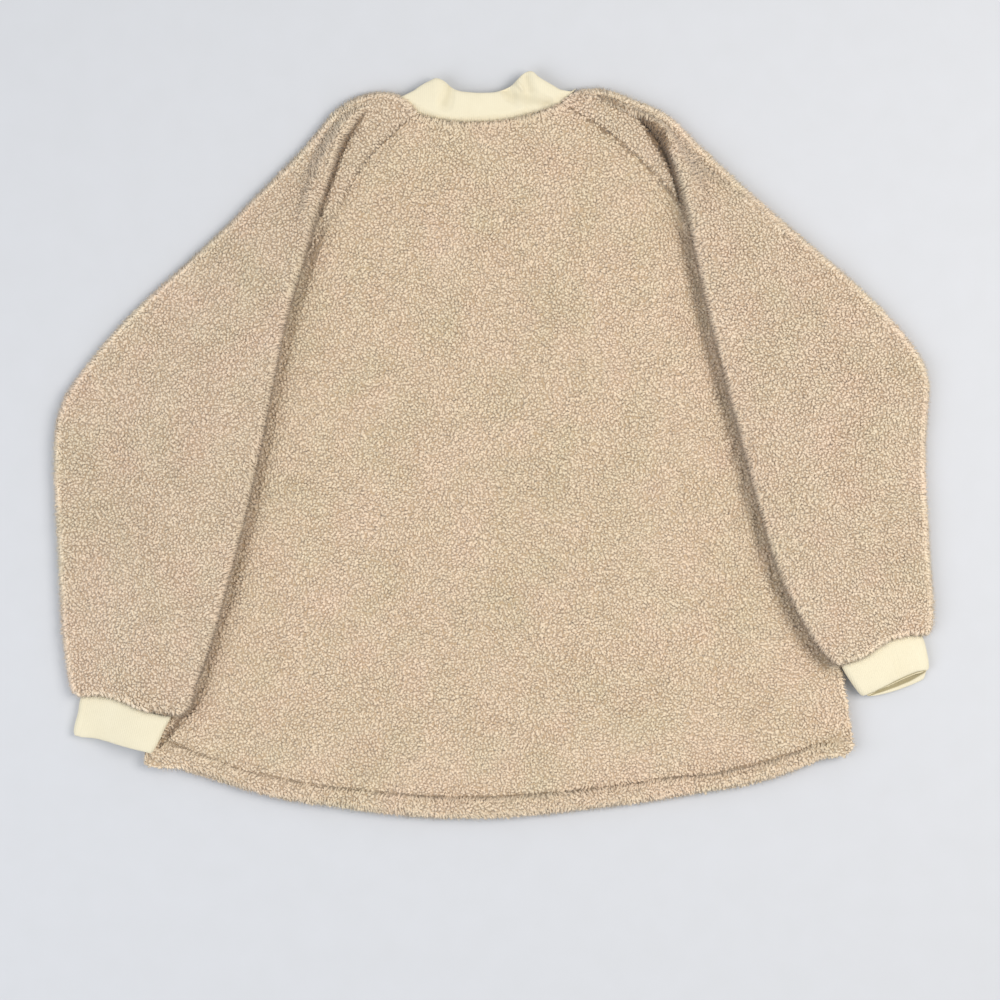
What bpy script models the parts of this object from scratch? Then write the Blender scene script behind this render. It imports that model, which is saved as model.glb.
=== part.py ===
"""Sherpa bomber jacket, laid flat on its front with the raglan sleeves folded down over the back.

Blender 4.5. Metres, +Z up, neck towards +Y, wearer's left towards -X. The origin is on the resting
plane, under the middle of the jacket. Every piece of cloth is a wall that is lofted through sections.
"""
import math

import bmesh
import bpy
from mathutils import Vector

MM = 0.001

# Cloth, in millimetres
PILE_WALL = 8.0
RIB_WALL = 5.0
LAYER_GAP = 0.4
SEAM_GAP = 0.25
EDGE_DROP = 3.2
SEAM_DROP = 1.3

# Levels of the layers, in millimetres above the resting plane
FRONT_BOTTOM = 0.0
FRONT_TOP = FRONT_BOTTOM + PILE_WALL
BACK_BOTTOM = FRONT_TOP + 0.3
BACK_TOP = BACK_BOTTOM + PILE_WALL
ON_BACK = BACK_TOP + 0.5
FOLD_RADIUS = PILE_WALL + LAYER_GAP / 2

# Number of steps along each stretch of a sleeve's section
SEAM_STEPS = 3
FOLD_STEPS = 5
RAMP_STEPS = 5
FLAT_STEPS = 3
ON_STEPS = 2
SEAM_BESIDE = 3.0
RAMP_RUN = 78.0
TOP_RUN = 105.0

# Sleeve sections, in millimetres: outer edge, visible inner fold, back raglan seam, front raglan seam.
# crest is how far the visible fold stands above the cloth beside it, before it lies on the back.
SLEEVE_COLUMNS = ("outer_x", "outer_y", "fold_x", "fold_y", "back_x", "back_y", "front_x", "front_y", "crest")
SLEEVE_LEFT_CAP = (
    (-90, 354, -78, 344, -70, 333, -84, 311, 0),
    (-106, 357, -92, 343, -80, 326, -90, 302, 0),
    (-121, 355, -110, 338, -94, 314, -101, 292, 2),
    (-138, 349, -127, 329, -109, 300, -113, 280, 4),
    (-154, 338, -141, 314, -124, 284, -126, 267, 7),
    (-175, 311, -152, 284, -137, 263, -138, 251, 9),
    (-205, 280, -163, 250, -150, 242, -151, 233, 11),
    (-244, 243, -174, 222, -167, 217, -167, 213, 14),
    (-284, 205, -186, 182, -190, 182, -190, 180, 0),
    (-330, 166, -200, 144, -216, 145, -216, 144, 0),
    (-376, 125, -210, 102, -243, 109, -243, 108, 0),
)
SLEEVE_RIGHT_CAP = (
    (93, 354, 83, 348, 74, 341, 87, 314, 0),
    (107, 356, 102, 345, 89, 333, 96, 307, 0),
    (124, 354, 122, 340, 106, 323, 110, 298, 2),
    (145, 344, 140, 331, 123, 311, 124, 288, 4),
    (168, 336, 157, 321, 139, 296, 140, 276, 7),
    (188, 323, 172, 306, 153, 283, 154, 265, 9),
    (206, 302, 181, 282, 167, 270, 167, 255, 11),
    (238, 270, 190, 254, 184, 252, 183, 240, 14),
    (286, 226, 199, 214, 204, 214, 204, 208, 0),
    (350, 169, 210, 157, 232, 156, 232, 153, 0),
    (405, 117, 221, 104, 265, 106, 265, 105, 0),
)

# Below the underarm the sleeve is a flattened tube: outer edge and visible inner fold
TUBE_COLUMNS = ("outer_x", "outer_y", "fold_x", "fold_y")
SLEEVE_LEFT_TUBE = (
    (-417, 75, -219, 60),
    (-432, 52, -223, 42),
    (-440, 22, -229, 13),
    (-440, -26, -240, -32),
    (-438, -78, -252, -80),
    (-437, -132, -268, -136),
    (-435, -182, -283, -188),
    (-431, -217, -300, -233),
    (-427, -240, -319, -264),
)
SLEEVE_RIGHT_TUBE = (
    (437, 70, 232, 60),
    (437, 48, 236, 40),
    (434, 14, 244, 13),
    (431, -30, 253, -29),
    (433, -80, 265, -77),
    (435, -128, 278, -126),
    (437, -162, 293, -161),
    (437, -182, 314, -203),
    (435, -197, 336, -227),
)

# Underarm and side edges of the body, in millimetres
UNDERARM_LEFT = (-284, 67)
UNDERARM_RIGHT = (303, 60)
HEM_CORNER_LEFT = (-352, -304)
HEM_CORNER_RIGHT = (353, -303)
UNDERARM_EASE = 3.0

# Hem: how far its edge drops below the line between its corners, across the jacket,
# and how wide the turned band is there
HEM_COLUMNS = ("across", "drop", "band")
HEM = (
    (0.0, 0, 20),
    (0.06, 17, 26),
    (0.145, 35, 31),
    (0.23, 50, 30),
    (0.31, 60, 27),
    (0.4, 67, 21),
    (0.5, 67, 20),
    (0.6, 62, 19),
    (0.7, 56, 18),
    (0.8, 46, 17),
    (0.9, 31, 18),
    (0.965, 15, 15),
    (1.0, 0, 12),
)
HEM_GROOVE = 2.6
HEM_SWELL = 1.2

# Necklines: how far each dips below the line between its ends
BACK_NECK_DIP = 13.5
FRONT_NECK_DIP = 63.0
FRONT_NECK_ROUNDNESS = 0.6

# Soft swells of the back between the sleeves: centre, half sizes and height
SWELL_COLUMNS = ("x", "y", "half_x", "half_y", "height")
SWELLS = (
    (-60, 170, 90, 120, 2.6),
    (70, 60, 120, 90, 2.2),
    (-50, -110, 110, 110, 2.8),
    (90, -200, 110, 70, 2.4),
)

# Collar: place along the back neckline, rim point and how far the buckled band stands up there
COLLAR_COLUMNS = ("along", "rim_x", "rim_y", "lift")
COLLAR_BACK = (
    (0.0, -69, 361, 1.5),
    (0.08, -60, 366, 3.5),
    (0.15, -49, 370.5, 5.5),
    (0.2, -42, 367.5, 3.0),
    (0.25, -35, 360, 0.5),
    (0.32, -27, 356.5, 1.5),
    (0.45, -10, 354.5, 2.0),
    (0.57, 8, 354.5, 1.5),
    (0.65, 19, 357.5, 0.5),
    (0.7, 25, 361, 0.0),
    (0.76, 31, 366, 4.5),
    (0.81, 38, 370.5, 2.0),
    (0.86, 46, 374.5, 4.5),
    (0.92, 54, 368, 3.0),
    (1.0, 67, 360.5, 1.0),
)
COLLAR_END_LEFT = ((-75, 342), (-80, 351))
COLLAR_END_RIGHT = ((79, 347), (81, 351))
COLLAR_FRONT_DEPTH = 41.0
COLLAR_FRONT_LEAN = 0.3
COLLAR_SEAM_GAP = 0.9
COLLAR_STEPS = 36
COLLAR_ROWS = (0.0, 0.3, 0.65, 1.0)
COLLAR_MOST_HOLLOW = 3.0

# Cuffs: at the sleeve and at the rim, outer edge, inner fold, how high the fold lies, how far it lies so
CUFF_COLUMNS = ("outer_x", "outer_y", "fold_x", "fold_y", "rise", "flat")
CUFF_LEFT = (
    (-420, -242, -327, -262.6, ON_BACK, 18),
    (-423, -262, -336, -282, ON_BACK, 13),
    (-425, -281, -346, -301, ON_BACK, 8),
)
CUFF_RIGHT = (
    (428, -199.6, 341, -225.9, 14, 4),
    (432, -216, 352, -243, 10, 2),
    (434, -233, 363, -259, 6, 0),
)
CUFF_RIGHT_LOWER_REACH = 9.0
CUFF_STEPS = (2, 2, 4, 2)

# Zip in the channel between the fronts
ZIP_HALF = 6.0
CHANNEL_HALF = 6.3
ZIP_BOTTOM = 2.4
TAPE_TOP = 6.6
TAPE_THICKNESS = 1.6
CHAIN_HALF = 2.6

# Places of the grid lines of a body panel across the jacket
PANEL_PLACES = (0.0, 0.012, 0.05, 0.12, 0.2, 0.28, 0.36, 0.44, 0.5, 0.56, 0.64, 0.72, 0.8, 0.88, 0.95, 0.988, 1.0)
HALF_PLACES = (0.0, 0.03, 0.12, 0.28, 0.45, 0.62, 0.8, 0.93, 1.0)
SIDE_ROWS = 4
UNDERARM_ROW = 5 + SIDE_ROWS

SHERPA_COLOUR = (0.674, 0.527, 0.376)
SLEEVE_COLOUR = (0.604, 0.479, 0.352)
RIB_COLOUR = (0.947, 0.871, 0.638)
ZIP_COLOUR = (0.35, 0.29, 0.22)


def clear_scene():
    for item in list(bpy.data.objects):
        bpy.data.objects.remove(item, do_unlink=True)


def cloth_material(name, colour, roughness):
    material = bpy.data.materials.new(name)
    material.use_nodes = True
    shader = material.node_tree.nodes["Principled BSDF"]
    shader.inputs["Base Color"].default_value = (*colour, 1.0)
    shader.inputs["Roughness"].default_value = roughness
    shader.inputs["Metallic"].default_value = 0.0
    return material


def smooth(t):
    t = min(max(t, 0.0), 1.0)
    return t * t * (3.0 - 2.0 * t)


def mix(a, b, t):
    return a + (b - a) * t


def plan(x, y):
    return Vector((x, y, 0.0))


def at_height(point, z):
    return Vector((point.x, point.y, z))


def steps(count):
    return [index / count for index in range(1, count + 1)]


def table_value(rows, columns, place, wanted):
    """A column's value, read between a table's rows by its first column."""
    index = columns.index(wanted)
    for low, high in zip(rows, rows[1:]):
        if place <= high[0]:
            return mix(low[index], high[index], (place - low[0]) / (high[0] - low[0]))
    return rows[-1][index]


def wall_object(name, outer, inner, material, closed_from=None, turn_at=None):
    """One closed wall between two grids of points, in millimetres.

    Rows from closed_from on are rings, whose last point is their first. Before turn_at the quads
    are cut along one diagonal and after it along the other, so layers that lie on each other agree.
    """
    mesh = bmesh.new()
    row_count = len(outer)
    last = len(outer[0]) - 1
    turn_at = last if turn_at is None else turn_at

    def add_grid(rows):
        grid = []
        for row_index, row in enumerate(rows):
            ring = closed_from is not None and row_index >= closed_from
            points = row[:last] if ring else row
            line = [mesh.verts.new(point * MM) for point in points]
            if ring:
                line.append(line[0])
            grid.append(line)
        return grid

    def add_faces(*corners):
        kept = []
        for corner in corners:
            if corner not in kept:
                kept.append(corner)
        if len(kept) > 2:
            mesh.faces.new(kept)

    outside = add_grid(outer)
    inside = add_grid(inner)
    for grid, flipped in ((outside, False), (inside, True)):
        for row in range(row_count - 1):
            for column in range(last):
                a, b = grid[row][column], grid[row][column + 1]
                c, d = grid[row + 1][column + 1], grid[row + 1][column]
                if column < turn_at:
                    triangles = ((a, b, c), (a, c, d))
                else:
                    triangles = ((a, b, d), (b, c, d))
                for triangle in triangles:
                    add_faces(*(reversed(triangle) if flipped else triangle))
    for row in (0, row_count - 1):
        for column in range(last):
            add_faces(outside[row][column], outside[row][column + 1],
                      inside[row][column + 1], inside[row][column])
    open_rows = row_count - 1 if closed_from is None else closed_from
    for column in (0, last):
        for row in range(open_rows):
            add_faces(outside[row][column], outside[row + 1][column],
                      inside[row + 1][column], inside[row][column])
    bmesh.ops.triangulate(mesh, faces=mesh.faces[:])
    bmesh.ops.recalc_face_normals(mesh, faces=mesh.faces[:])
    if mesh.calc_volume(signed=True) < 0.0:
        bmesh.ops.reverse_faces(mesh, faces=mesh.faces[:])
    data = bpy.data.meshes.new(name)
    mesh.to_mesh(data)
    mesh.free()
    data.shade_smooth()
    data.materials.append(material)
    item = bpy.data.objects.new(name, data)
    bpy.context.scene.collection.objects.link(item)
    return item


def swell(x, y):
    """Height of the soft swells of the back, zero under the sleeves."""
    height = 0.0
    for centre_x, centre_y, half_x, half_y, top in SWELLS:
        away = math.hypot((x - centre_x) / half_x, (y - centre_y) / half_y)
        height = max(height, top * smooth(1.0 - away))
    return height


def side_edge(side, y):
    """The body's side edge at a height y: x in millimetres."""
    top, bottom = (UNDERARM_LEFT, HEM_CORNER_LEFT) if side < 0 else (UNDERARM_RIGHT, HEM_CORNER_RIGHT)
    return mix(top[0], bottom[0], (top[1] - y) / (top[1] - bottom[1]))


def body_rows(seam, neck_dip, roundness):
    """Rows of a body panel from hem to neck: left end, right end and a function for how far it drops."""
    def hem_drop(place):
        return table_value(HEM, HEM_COLUMNS, place, "drop")

    def band(place):
        return table_value(HEM, HEM_COLUMNS, place, "band")

    rows = []
    for share in (0.0, 0.25, 0.75, 1.0, 1.25):
        rows.append((HEM_CORNER_LEFT, HEM_CORNER_RIGHT,
                     lambda place, share=share: hem_drop(place) - share * band(place)))
    for index in range(1, SIDE_ROWS):
        t = 0.12 + 0.88 * index / SIDE_ROWS
        left_y = mix(HEM_CORNER_LEFT[1], UNDERARM_LEFT[1], t)
        right_y = mix(HEM_CORNER_RIGHT[1], UNDERARM_RIGHT[1], t)
        rows.append(((side_edge(-1, left_y), left_y), (side_edge(1, right_y), right_y),
                     lambda place, t=t: hem_drop(place) * (1.0 - t)))
    rows.append(((UNDERARM_LEFT[0] + UNDERARM_EASE, UNDERARM_LEFT[1]),
                 (UNDERARM_RIGHT[0] - UNDERARM_EASE, UNDERARM_RIGHT[1]), lambda place: 0.0))
    first = SLEEVE_COLUMNS.index(seam + "_x")
    count = len(SLEEVE_LEFT_CAP)
    for index in reversed(range(count)):
        left = SLEEVE_LEFT_CAP[index][first:first + 2]
        right = SLEEVE_RIGHT_CAP[index][first:first + 2]
        dip = neck_dip * (1.0 - (index / count) ** 2)
        rows.append(((left[0] + SEAM_GAP, left[1]), (right[0] - SEAM_GAP, right[1]),
                     lambda place, dip=dip: dip * (4.0 * place * (1.0 - place)) ** roundness))
    return rows


def panel_points(rows, places):
    grid = []
    for left, right, drop in rows:
        line = []
        for place in places:
            y = mix(left[1], right[1], place) - drop(place)
            line.append(plan(mix(left[0], right[0], place), y))
        grid.append(line)
    return grid


def hem_shape(row):
    """How the pile stands at the rows of the turned hem: edge, swell, swell, stitched groove."""
    return {0: -EDGE_DROP, 1: 0.6 * HEM_SWELL, 2: HEM_SWELL, 3: -HEM_GROOVE, 4: 0.0}.get(row, 0.0)


def back_panel(material):
    rows = body_rows("back", BACK_NECK_DIP, 1.0)
    grid = panel_points(rows, PANEL_PLACES)
    last = len(PANEL_PLACES) - 1
    outer = []
    inner = []
    for row, line in enumerate(grid):
        top = []
        for column, point in enumerate(line):
            height = BACK_TOP + hem_shape(row) + swell(point.x, point.y)
            from_edge = min(column, last - column)
            side_drop = EDGE_DROP if row < UNDERARM_ROW else SEAM_DROP
            if from_edge < 2:
                height = BACK_TOP - (side_drop if from_edge == 0 else 0.3 * side_drop)
            if row == len(grid) - 1:
                height = BACK_TOP - 0.5 * EDGE_DROP
            top.append(at_height(point, height))
        outer.append(top)
        inner.append([at_height(point, BACK_BOTTOM + 0.6 * swell(point.x, point.y)) for point in line])
    return wall_object("back", outer, inner, material)


def front_panel(name, side, material):
    rows = body_rows("front", FRONT_NECK_DIP, FRONT_NECK_ROUNDNESS)
    outer = []
    inner = []
    for row, (left, right, drop) in enumerate(rows):
        top = []
        bottom = []
        edge = CHANNEL_HALF * side
        end = left if side < 0 else right
        for share in HALF_PLACES:
            x = mix(end[0], edge, share)
            place = (x - left[0]) / (right[0] - left[0])
            y = mix(left[1], right[1], place) - drop(place)
            top.append(Vector((x, y, FRONT_TOP)))
            bottom.append(Vector((x, y, FRONT_BOTTOM)))
        outer.append(top)
        inner.append(bottom)
    return wall_object(name, outer, inner, material)


def fold_arc(edge, outward, middle, radius, start, end, count):
    """Points round a fold whose outermost point is edge; start and end are angles in degrees."""
    centre = edge - outward * radius
    points = []
    for t in steps(count):
        angle = math.radians(mix(start, end, t))
        points.append(at_height(centre + outward * (radius * math.cos(angle)),
                                middle + radius * math.sin(angle)))
    return points


def cap_section(row):
    """Section of a sleeve above the underarm where its fold hasn't reached the back."""
    outer_edge, fold = plan(row[0], row[1]), plan(row[2], row[3])
    seam, front, crest = plan(row[4], row[5]), plan(row[6], row[7]), row[8]
    outward = (outer_edge - fold).normalized()
    reach = (outer_edge - fold).length
    rise = min(FOLD_RADIUS, 0.3 * reach)
    outer = [at_height(seam, BACK_TOP - SEAM_DROP)]
    inner = [at_height(seam, BACK_BOTTOM)]
    for t in steps(SEAM_STEPS):
        outer.append(at_height(seam.lerp(fold, t), BACK_TOP))
        inner.append(at_height(seam.lerp(fold, t), BACK_BOTTOM + 0.1 * t))
    for t in steps(FOLD_STEPS):
        point = fold + outward * (rise * t)
        outer.append(at_height(point, BACK_TOP + crest * math.sin(t * math.pi / 2)))
        inner.append(at_height(point, FRONT_TOP + LAYER_GAP))
    start = fold + outward * rise
    end = outer_edge - outward * FOLD_RADIUS
    for t in steps(ON_STEPS + RAMP_STEPS + FLAT_STEPS):
        point = start.lerp(end, t)
        level = FRONT_TOP + LAYER_GAP
        outer.append(at_height(point, level + PILE_WALL + crest * (1.0 - smooth(t))))
        inner.append(at_height(point, level))
    middle = FOLD_RADIUS
    outer += fold_arc(outer_edge, outward, middle, FOLD_RADIUS, 90, -90, FOLD_STEPS)
    inner += fold_arc(outer_edge - outward * PILE_WALL, outward, middle, LAYER_GAP / 2, 90, -90, FOLD_STEPS)
    for t in steps(FLAT_STEPS + RAMP_STEPS + 1):
        outer.append(at_height(end.lerp(front, t), 0.0))
        inner.append(at_height(end.lerp(front, t), FRONT_TOP))
    return outer, inner


def ramp(away, rise, run):
    """Height of what lies under a sleeve, at a distance outside the body's edge."""
    return rise * (1.0 - smooth(away / run))


def lying_section(row):
    """Section of a sleeve above the underarm whose fold lies on the back; the hidden layers are one solid."""
    outer_edge, fold = plan(row[0], row[1]), plan(row[2], row[3])
    seam, front = plan(row[4], row[5]), plan(row[6], row[7])
    outward = (outer_edge - fold).normalized()
    start = fold + outward * FOLD_RADIUS
    low_seam = seam + outward * SEAM_GAP
    outer = [at_height(low_seam, ON_BACK)]
    inner = [at_height(low_seam, BACK_BOTTOM + 0.1)]
    hidden = SEAM_STEPS + FOLD_STEPS + ON_STEPS
    for t in steps(SEAM_STEPS):
        outer.append(at_height(low_seam.lerp(start, t), ON_BACK))
    outer += fold_arc(fold, -outward, ON_BACK + FOLD_RADIUS, FOLD_RADIUS, -90, 90, FOLD_STEPS)
    top = ON_BACK + 2 * FOLD_RADIUS
    shoulder = max(start, seam, key=lambda point: (point - fold).dot(outward)) + outward * 0.5
    for t in steps(ON_STEPS):
        outer.append(at_height(start.lerp(shoulder, t), top))
    for index in range(1, hidden + 1):
        inner.append(at_height(low_seam + outward * (0.9 * index), FRONT_TOP + LAYER_GAP))
    end = outer_edge - outward * FOLD_RADIUS
    foot = shoulder + outward * RAMP_RUN
    for t in steps(RAMP_STEPS):
        point = shoulder.lerp(foot, t)
        outer.append(at_height(point, 2 * FOLD_RADIUS + ramp(t * RAMP_RUN, ON_BACK, TOP_RUN)))
        if (point - low_seam).dot(outward) < 0.9 * hidden + 0.5:
            point = low_seam + outward * (0.9 * hidden + 0.5)
        inner.append(at_height(point, FRONT_TOP + LAYER_GAP))
    flat_run = (end - foot).length
    for t in steps(FLAT_STEPS):
        rest = ramp(RAMP_RUN + t * flat_run, ON_BACK, min(TOP_RUN, RAMP_RUN + flat_run))
        outer.append(at_height(foot.lerp(end, t), 2 * FOLD_RADIUS + rest))
        inner.append(at_height(foot.lerp(end, t), FRONT_TOP + LAYER_GAP))
    outer += fold_arc(outer_edge, outward, FOLD_RADIUS, FOLD_RADIUS, 90, -90, FOLD_STEPS)
    inner += fold_arc(outer_edge - outward * PILE_WALL, outward, FOLD_RADIUS, LAYER_GAP / 2, 90, -90, FOLD_STEPS)
    last = front + outward * SEAM_GAP
    route = [end.lerp(foot, t) for t in steps(FLAT_STEPS)]
    route += [foot.lerp(shoulder, t) for t in steps(RAMP_STEPS)] + [last]
    for point in route:
        outer.append(at_height(point, 0.0))
        inner.append(at_height(point, FRONT_TOP))
    return outer, inner


def tube_section(outer_edge, fold, wall, rise, flat, run, counts):
    """Closed section of a flattened tube that lies partly on the body: outer and inner ring.

    It starts on the lower layer at the body's edge and goes round by the fold that lies on the body.
    counts are the steps from the edge to the fold, on it, down the ramp and along the flat.
    """
    seam_steps, on_steps, ramp_steps, flat_steps = counts
    radius = wall + LAYER_GAP / 2
    outward = (outer_edge - fold).normalized()
    start = fold + outward * radius
    seam = fold + outward * max(flat, radius + 0.5)
    end = outer_edge - outward * radius
    run = min(run, (end - seam).length - 4.0)
    foot = seam + outward * run
    outer = [at_height(seam, rise)]
    inner = [at_height(seam, rise + wall)]
    for t in steps(seam_steps):
        outer.append(at_height(seam.lerp(start, t), rise))
        inner.append(at_height(seam.lerp(start, t), rise + wall))
    outer += fold_arc(fold, -outward, rise + radius, radius, -90, 90, FOLD_STEPS)
    inner += fold_arc(fold + outward * wall, -outward, rise + radius, LAYER_GAP / 2, -90, 90, FOLD_STEPS)
    top_run = min(run * TOP_RUN / RAMP_RUN, (end - seam).length)
    upper = [(start.lerp(seam, t), 0.0) for t in steps(on_steps)]
    upper += [(seam.lerp(foot, t), t * run) for t in steps(ramp_steps)]
    upper += [(foot.lerp(end, t), mix(run, (end - seam).length, t)) for t in steps(flat_steps)]
    for point, away in upper:
        outer.append(at_height(point, ramp(away, rise, top_run) + 2 * radius))
        inner.append(at_height(point, ramp(away, rise, run) + wall + LAYER_GAP))
    outer += fold_arc(outer_edge, outward, radius, radius, 90, -90, FOLD_STEPS)
    inner += fold_arc(outer_edge - outward * wall, outward, radius, LAYER_GAP / 2, 90, -90, FOLD_STEPS)
    lower = [(end.lerp(foot, t), 0.0) for t in steps(flat_steps)]
    lower += [(foot.lerp(seam, t), ramp((1.0 - t) * run, rise, run)) for t in steps(ramp_steps)[:-1]]
    lower += [(seam + outward * SEAM_BESIDE, rise), (seam, rise)]
    for point, base in lower:
        outer.append(at_height(point, base))
        inner.append(at_height(point, base + wall))
    return outer, inner


def sleeve(name, cap_rows, tube_rows, side, material):
    """Raglan sleeve: an open cap between its two seams, then a flattened tube down to the cuff."""
    outer = []
    inner = []
    for row in cap_rows:
        spread = list(row)
        spread[4] += side * SEAM_GAP
        spread[6] += side * SEAM_GAP
        section = cap_section(spread) if cap_rows.index(row) < 8 else lying_section(spread)
        outer.append(section[0])
        inner.append(section[1])
    for outer_x, outer_y, fold_x, fold_y in tube_rows:
        flat = abs(side_edge(side, fold_y) - fold_x)
        section = tube_section(plan(outer_x, outer_y), plan(fold_x, fold_y), PILE_WALL, ON_BACK,
                               flat, RAMP_RUN, (SEAM_STEPS, ON_STEPS, RAMP_STEPS, FLAT_STEPS))
        outer.append(section[0])
        inner.append(section[1])
    turn = SEAM_STEPS + FOLD_STEPS + ON_STEPS + RAMP_STEPS + FLAT_STEPS + FOLD_STEPS // 2
    return wall_object(name, outer, inner, material, closed_from=len(cap_rows), turn_at=turn)


def cuff(name, rows, lower_reach, material):
    """Rib-knit cuff, a flattened tube; its lower layer may reach further out than the one that shows."""
    outer = []
    inner = []
    along = (plan(rows[-1][0], rows[-1][1]) - plan(rows[0][0], rows[0][1])).normalized()
    first_lower = CUFF_STEPS[0] + CUFF_STEPS[1] + CUFF_STEPS[2] + CUFF_STEPS[3] + 2 * FOLD_STEPS
    for row_index, (outer_x, outer_y, fold_x, fold_y, rise, flat) in enumerate(rows):
        section = tube_section(plan(outer_x, outer_y), plan(fold_x, fold_y), RIB_WALL, rise, flat,
                               RAMP_RUN, CUFF_STEPS)
        if row_index == len(rows) - 1:
            count = len(section[0]) - first_lower
            for ring in section:
                for index in range(first_lower, len(ring) - 1):
                    bulge = math.sin(math.pi * (index - first_lower + 1) / count)
                    ring[index] += along * (lower_reach * bulge)
        outer.append(section[0])
        inner.append(section[1])
    turn = first_lower - FOLD_STEPS // 2
    return wall_object(name, outer, inner, material, closed_from=0, turn_at=turn)


def neck_point(place, seam, dip, roundness, gap):
    index = SLEEVE_COLUMNS.index(seam + "_x")
    left, right = SLEEVE_LEFT_CAP[0][index:index + 2], SLEEVE_RIGHT_CAP[0][index:index + 2]
    drop = dip * (4.0 * place * (1.0 - place)) ** roundness
    x = mix(left[0] + SEAM_GAP, right[0] - SEAM_GAP, place)
    return plan(x, mix(left[1], right[1], place) - drop + gap)


def collar_front(side):
    """Stations of the hidden front of the collar, from the neck's side to the zip."""
    index = SLEEVE_COLUMNS.index("front_x")
    left, right = SLEEVE_LEFT_CAP[0][index], SLEEVE_RIGHT_CAP[0][index]
    left, right = left + SEAM_GAP, right - SEAM_GAP
    end = left if side < 0 else right
    stations = []
    for share in HALF_PLACES[2:]:
        across = (mix(end, CHANNEL_HALF * side, share) - left) / (right - left)
        seam = neck_point(across, "front", FRONT_NECK_DIP, FRONT_NECK_ROUNDNESS, COLLAR_SEAM_GAP)
        inward = COLLAR_FRONT_LEAN * (1.0 - share)
        stations.append((seam, plan(mix(seam.x, 0.0, inward), seam.y + COLLAR_FRONT_DEPTH)))
    return stations


def collar(material):
    """Rib band round the neck: the back of it lies on its front, which is folded under at both sides."""
    back = []
    for along, rim_x, rim_y, lift in COLLAR_BACK:
        seam = neck_point(along, "back", BACK_NECK_DIP, 1.0, COLLAR_SEAM_GAP)
        back.append((seam, plan(rim_x, rim_y), lift))
    ends = {}
    for side, (seam, rim) in ((-1, COLLAR_END_LEFT), (1, COLLAR_END_RIGHT)):
        ends[side] = (plan(*seam), plan(*rim), 0.0)
    stretch = [ends[-1]] + back + [ends[1]]
    low = BACK_BOTTOM + 0.3
    radius = (low + RIB_WALL) / 2

    def spread(count):
        """Even stations along the visible back, between the table's rows."""
        found = []
        lengths = [0.0]
        for before, after in zip(stretch, stretch[1:]):
            lengths.append(lengths[-1] + (after[1] - before[1]).length)
        for index in range(count + 1):
            target = lengths[-1] * index / count
            segment = max(k for k in range(len(lengths) - 1) if lengths[k] <= target + 1e-9)
            t = (target - lengths[segment]) / (lengths[segment + 1] - lengths[segment])
            a, b = stretch[segment], stretch[segment + 1]
            found.append((a[0].lerp(b[0], t), a[1].lerp(b[1], t), mix(a[2], b[2], smooth(t))))
        return found

    outer = [[] for _ in COLLAR_ROWS]
    inner = [[] for _ in COLLAR_ROWS]

    def add(seam, rim, low_z, high_z, lift=0.0):
        for row, share in enumerate(COLLAR_ROWS):
            point = seam.lerp(rim, share)
            raised = lift * smooth(share / 0.6)
            outer[row].append(at_height(point, high_z + raised))
            inner[row].append(at_height(point, low_z + min(raised, COLLAR_MOST_HOLLOW)))

    def add_front(side, reverse):
        stations = collar_front(side)
        end_seam, end_rim, _ = ends[side]
        route = [(end_seam, end_rim)] + stations
        fine = []
        for before, after in zip(route, route[1:]):
            for t in (0.0, 1 / 3, 2 / 3):
                fine.append((before[0].lerp(after[0], t), before[1].lerp(after[1], t)))
        fine = fine[1:] + [route[-1]]
        for seam, rim in (reversed(fine) if reverse else fine):
            add(seam, rim, RIB_WALL, 0.0)

    def add_fold(side, angles):
        seam, rim, _ = ends[side]
        nearer = back[0] if side < 0 else back[-1]
        outward = (seam - nearer[0]).normalized()
        small = radius - RIB_WALL
        for angle in angles:
            turn = math.radians(angle)
            for row, share in enumerate(COLLAR_ROWS):
                point = seam.lerp(rim, share)
                outer[row].append(at_height(point + outward * (radius * math.cos(turn)),
                                            radius + radius * math.sin(turn)))
                inner[row].append(at_height(point + outward * (small * math.cos(turn)),
                                            radius + small * math.sin(turn)))

    add_front(-1, True)
    add_fold(-1, (-90, -54, -18, 18, 54))
    for seam, rim, lift in spread(COLLAR_STEPS):
        add(seam, rim, low, low + RIB_WALL, lift)
    add_fold(1, (54, 18, -18, -54, -90))
    add_front(1, False)
    return wall_object("collar", outer, inner, material)


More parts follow.
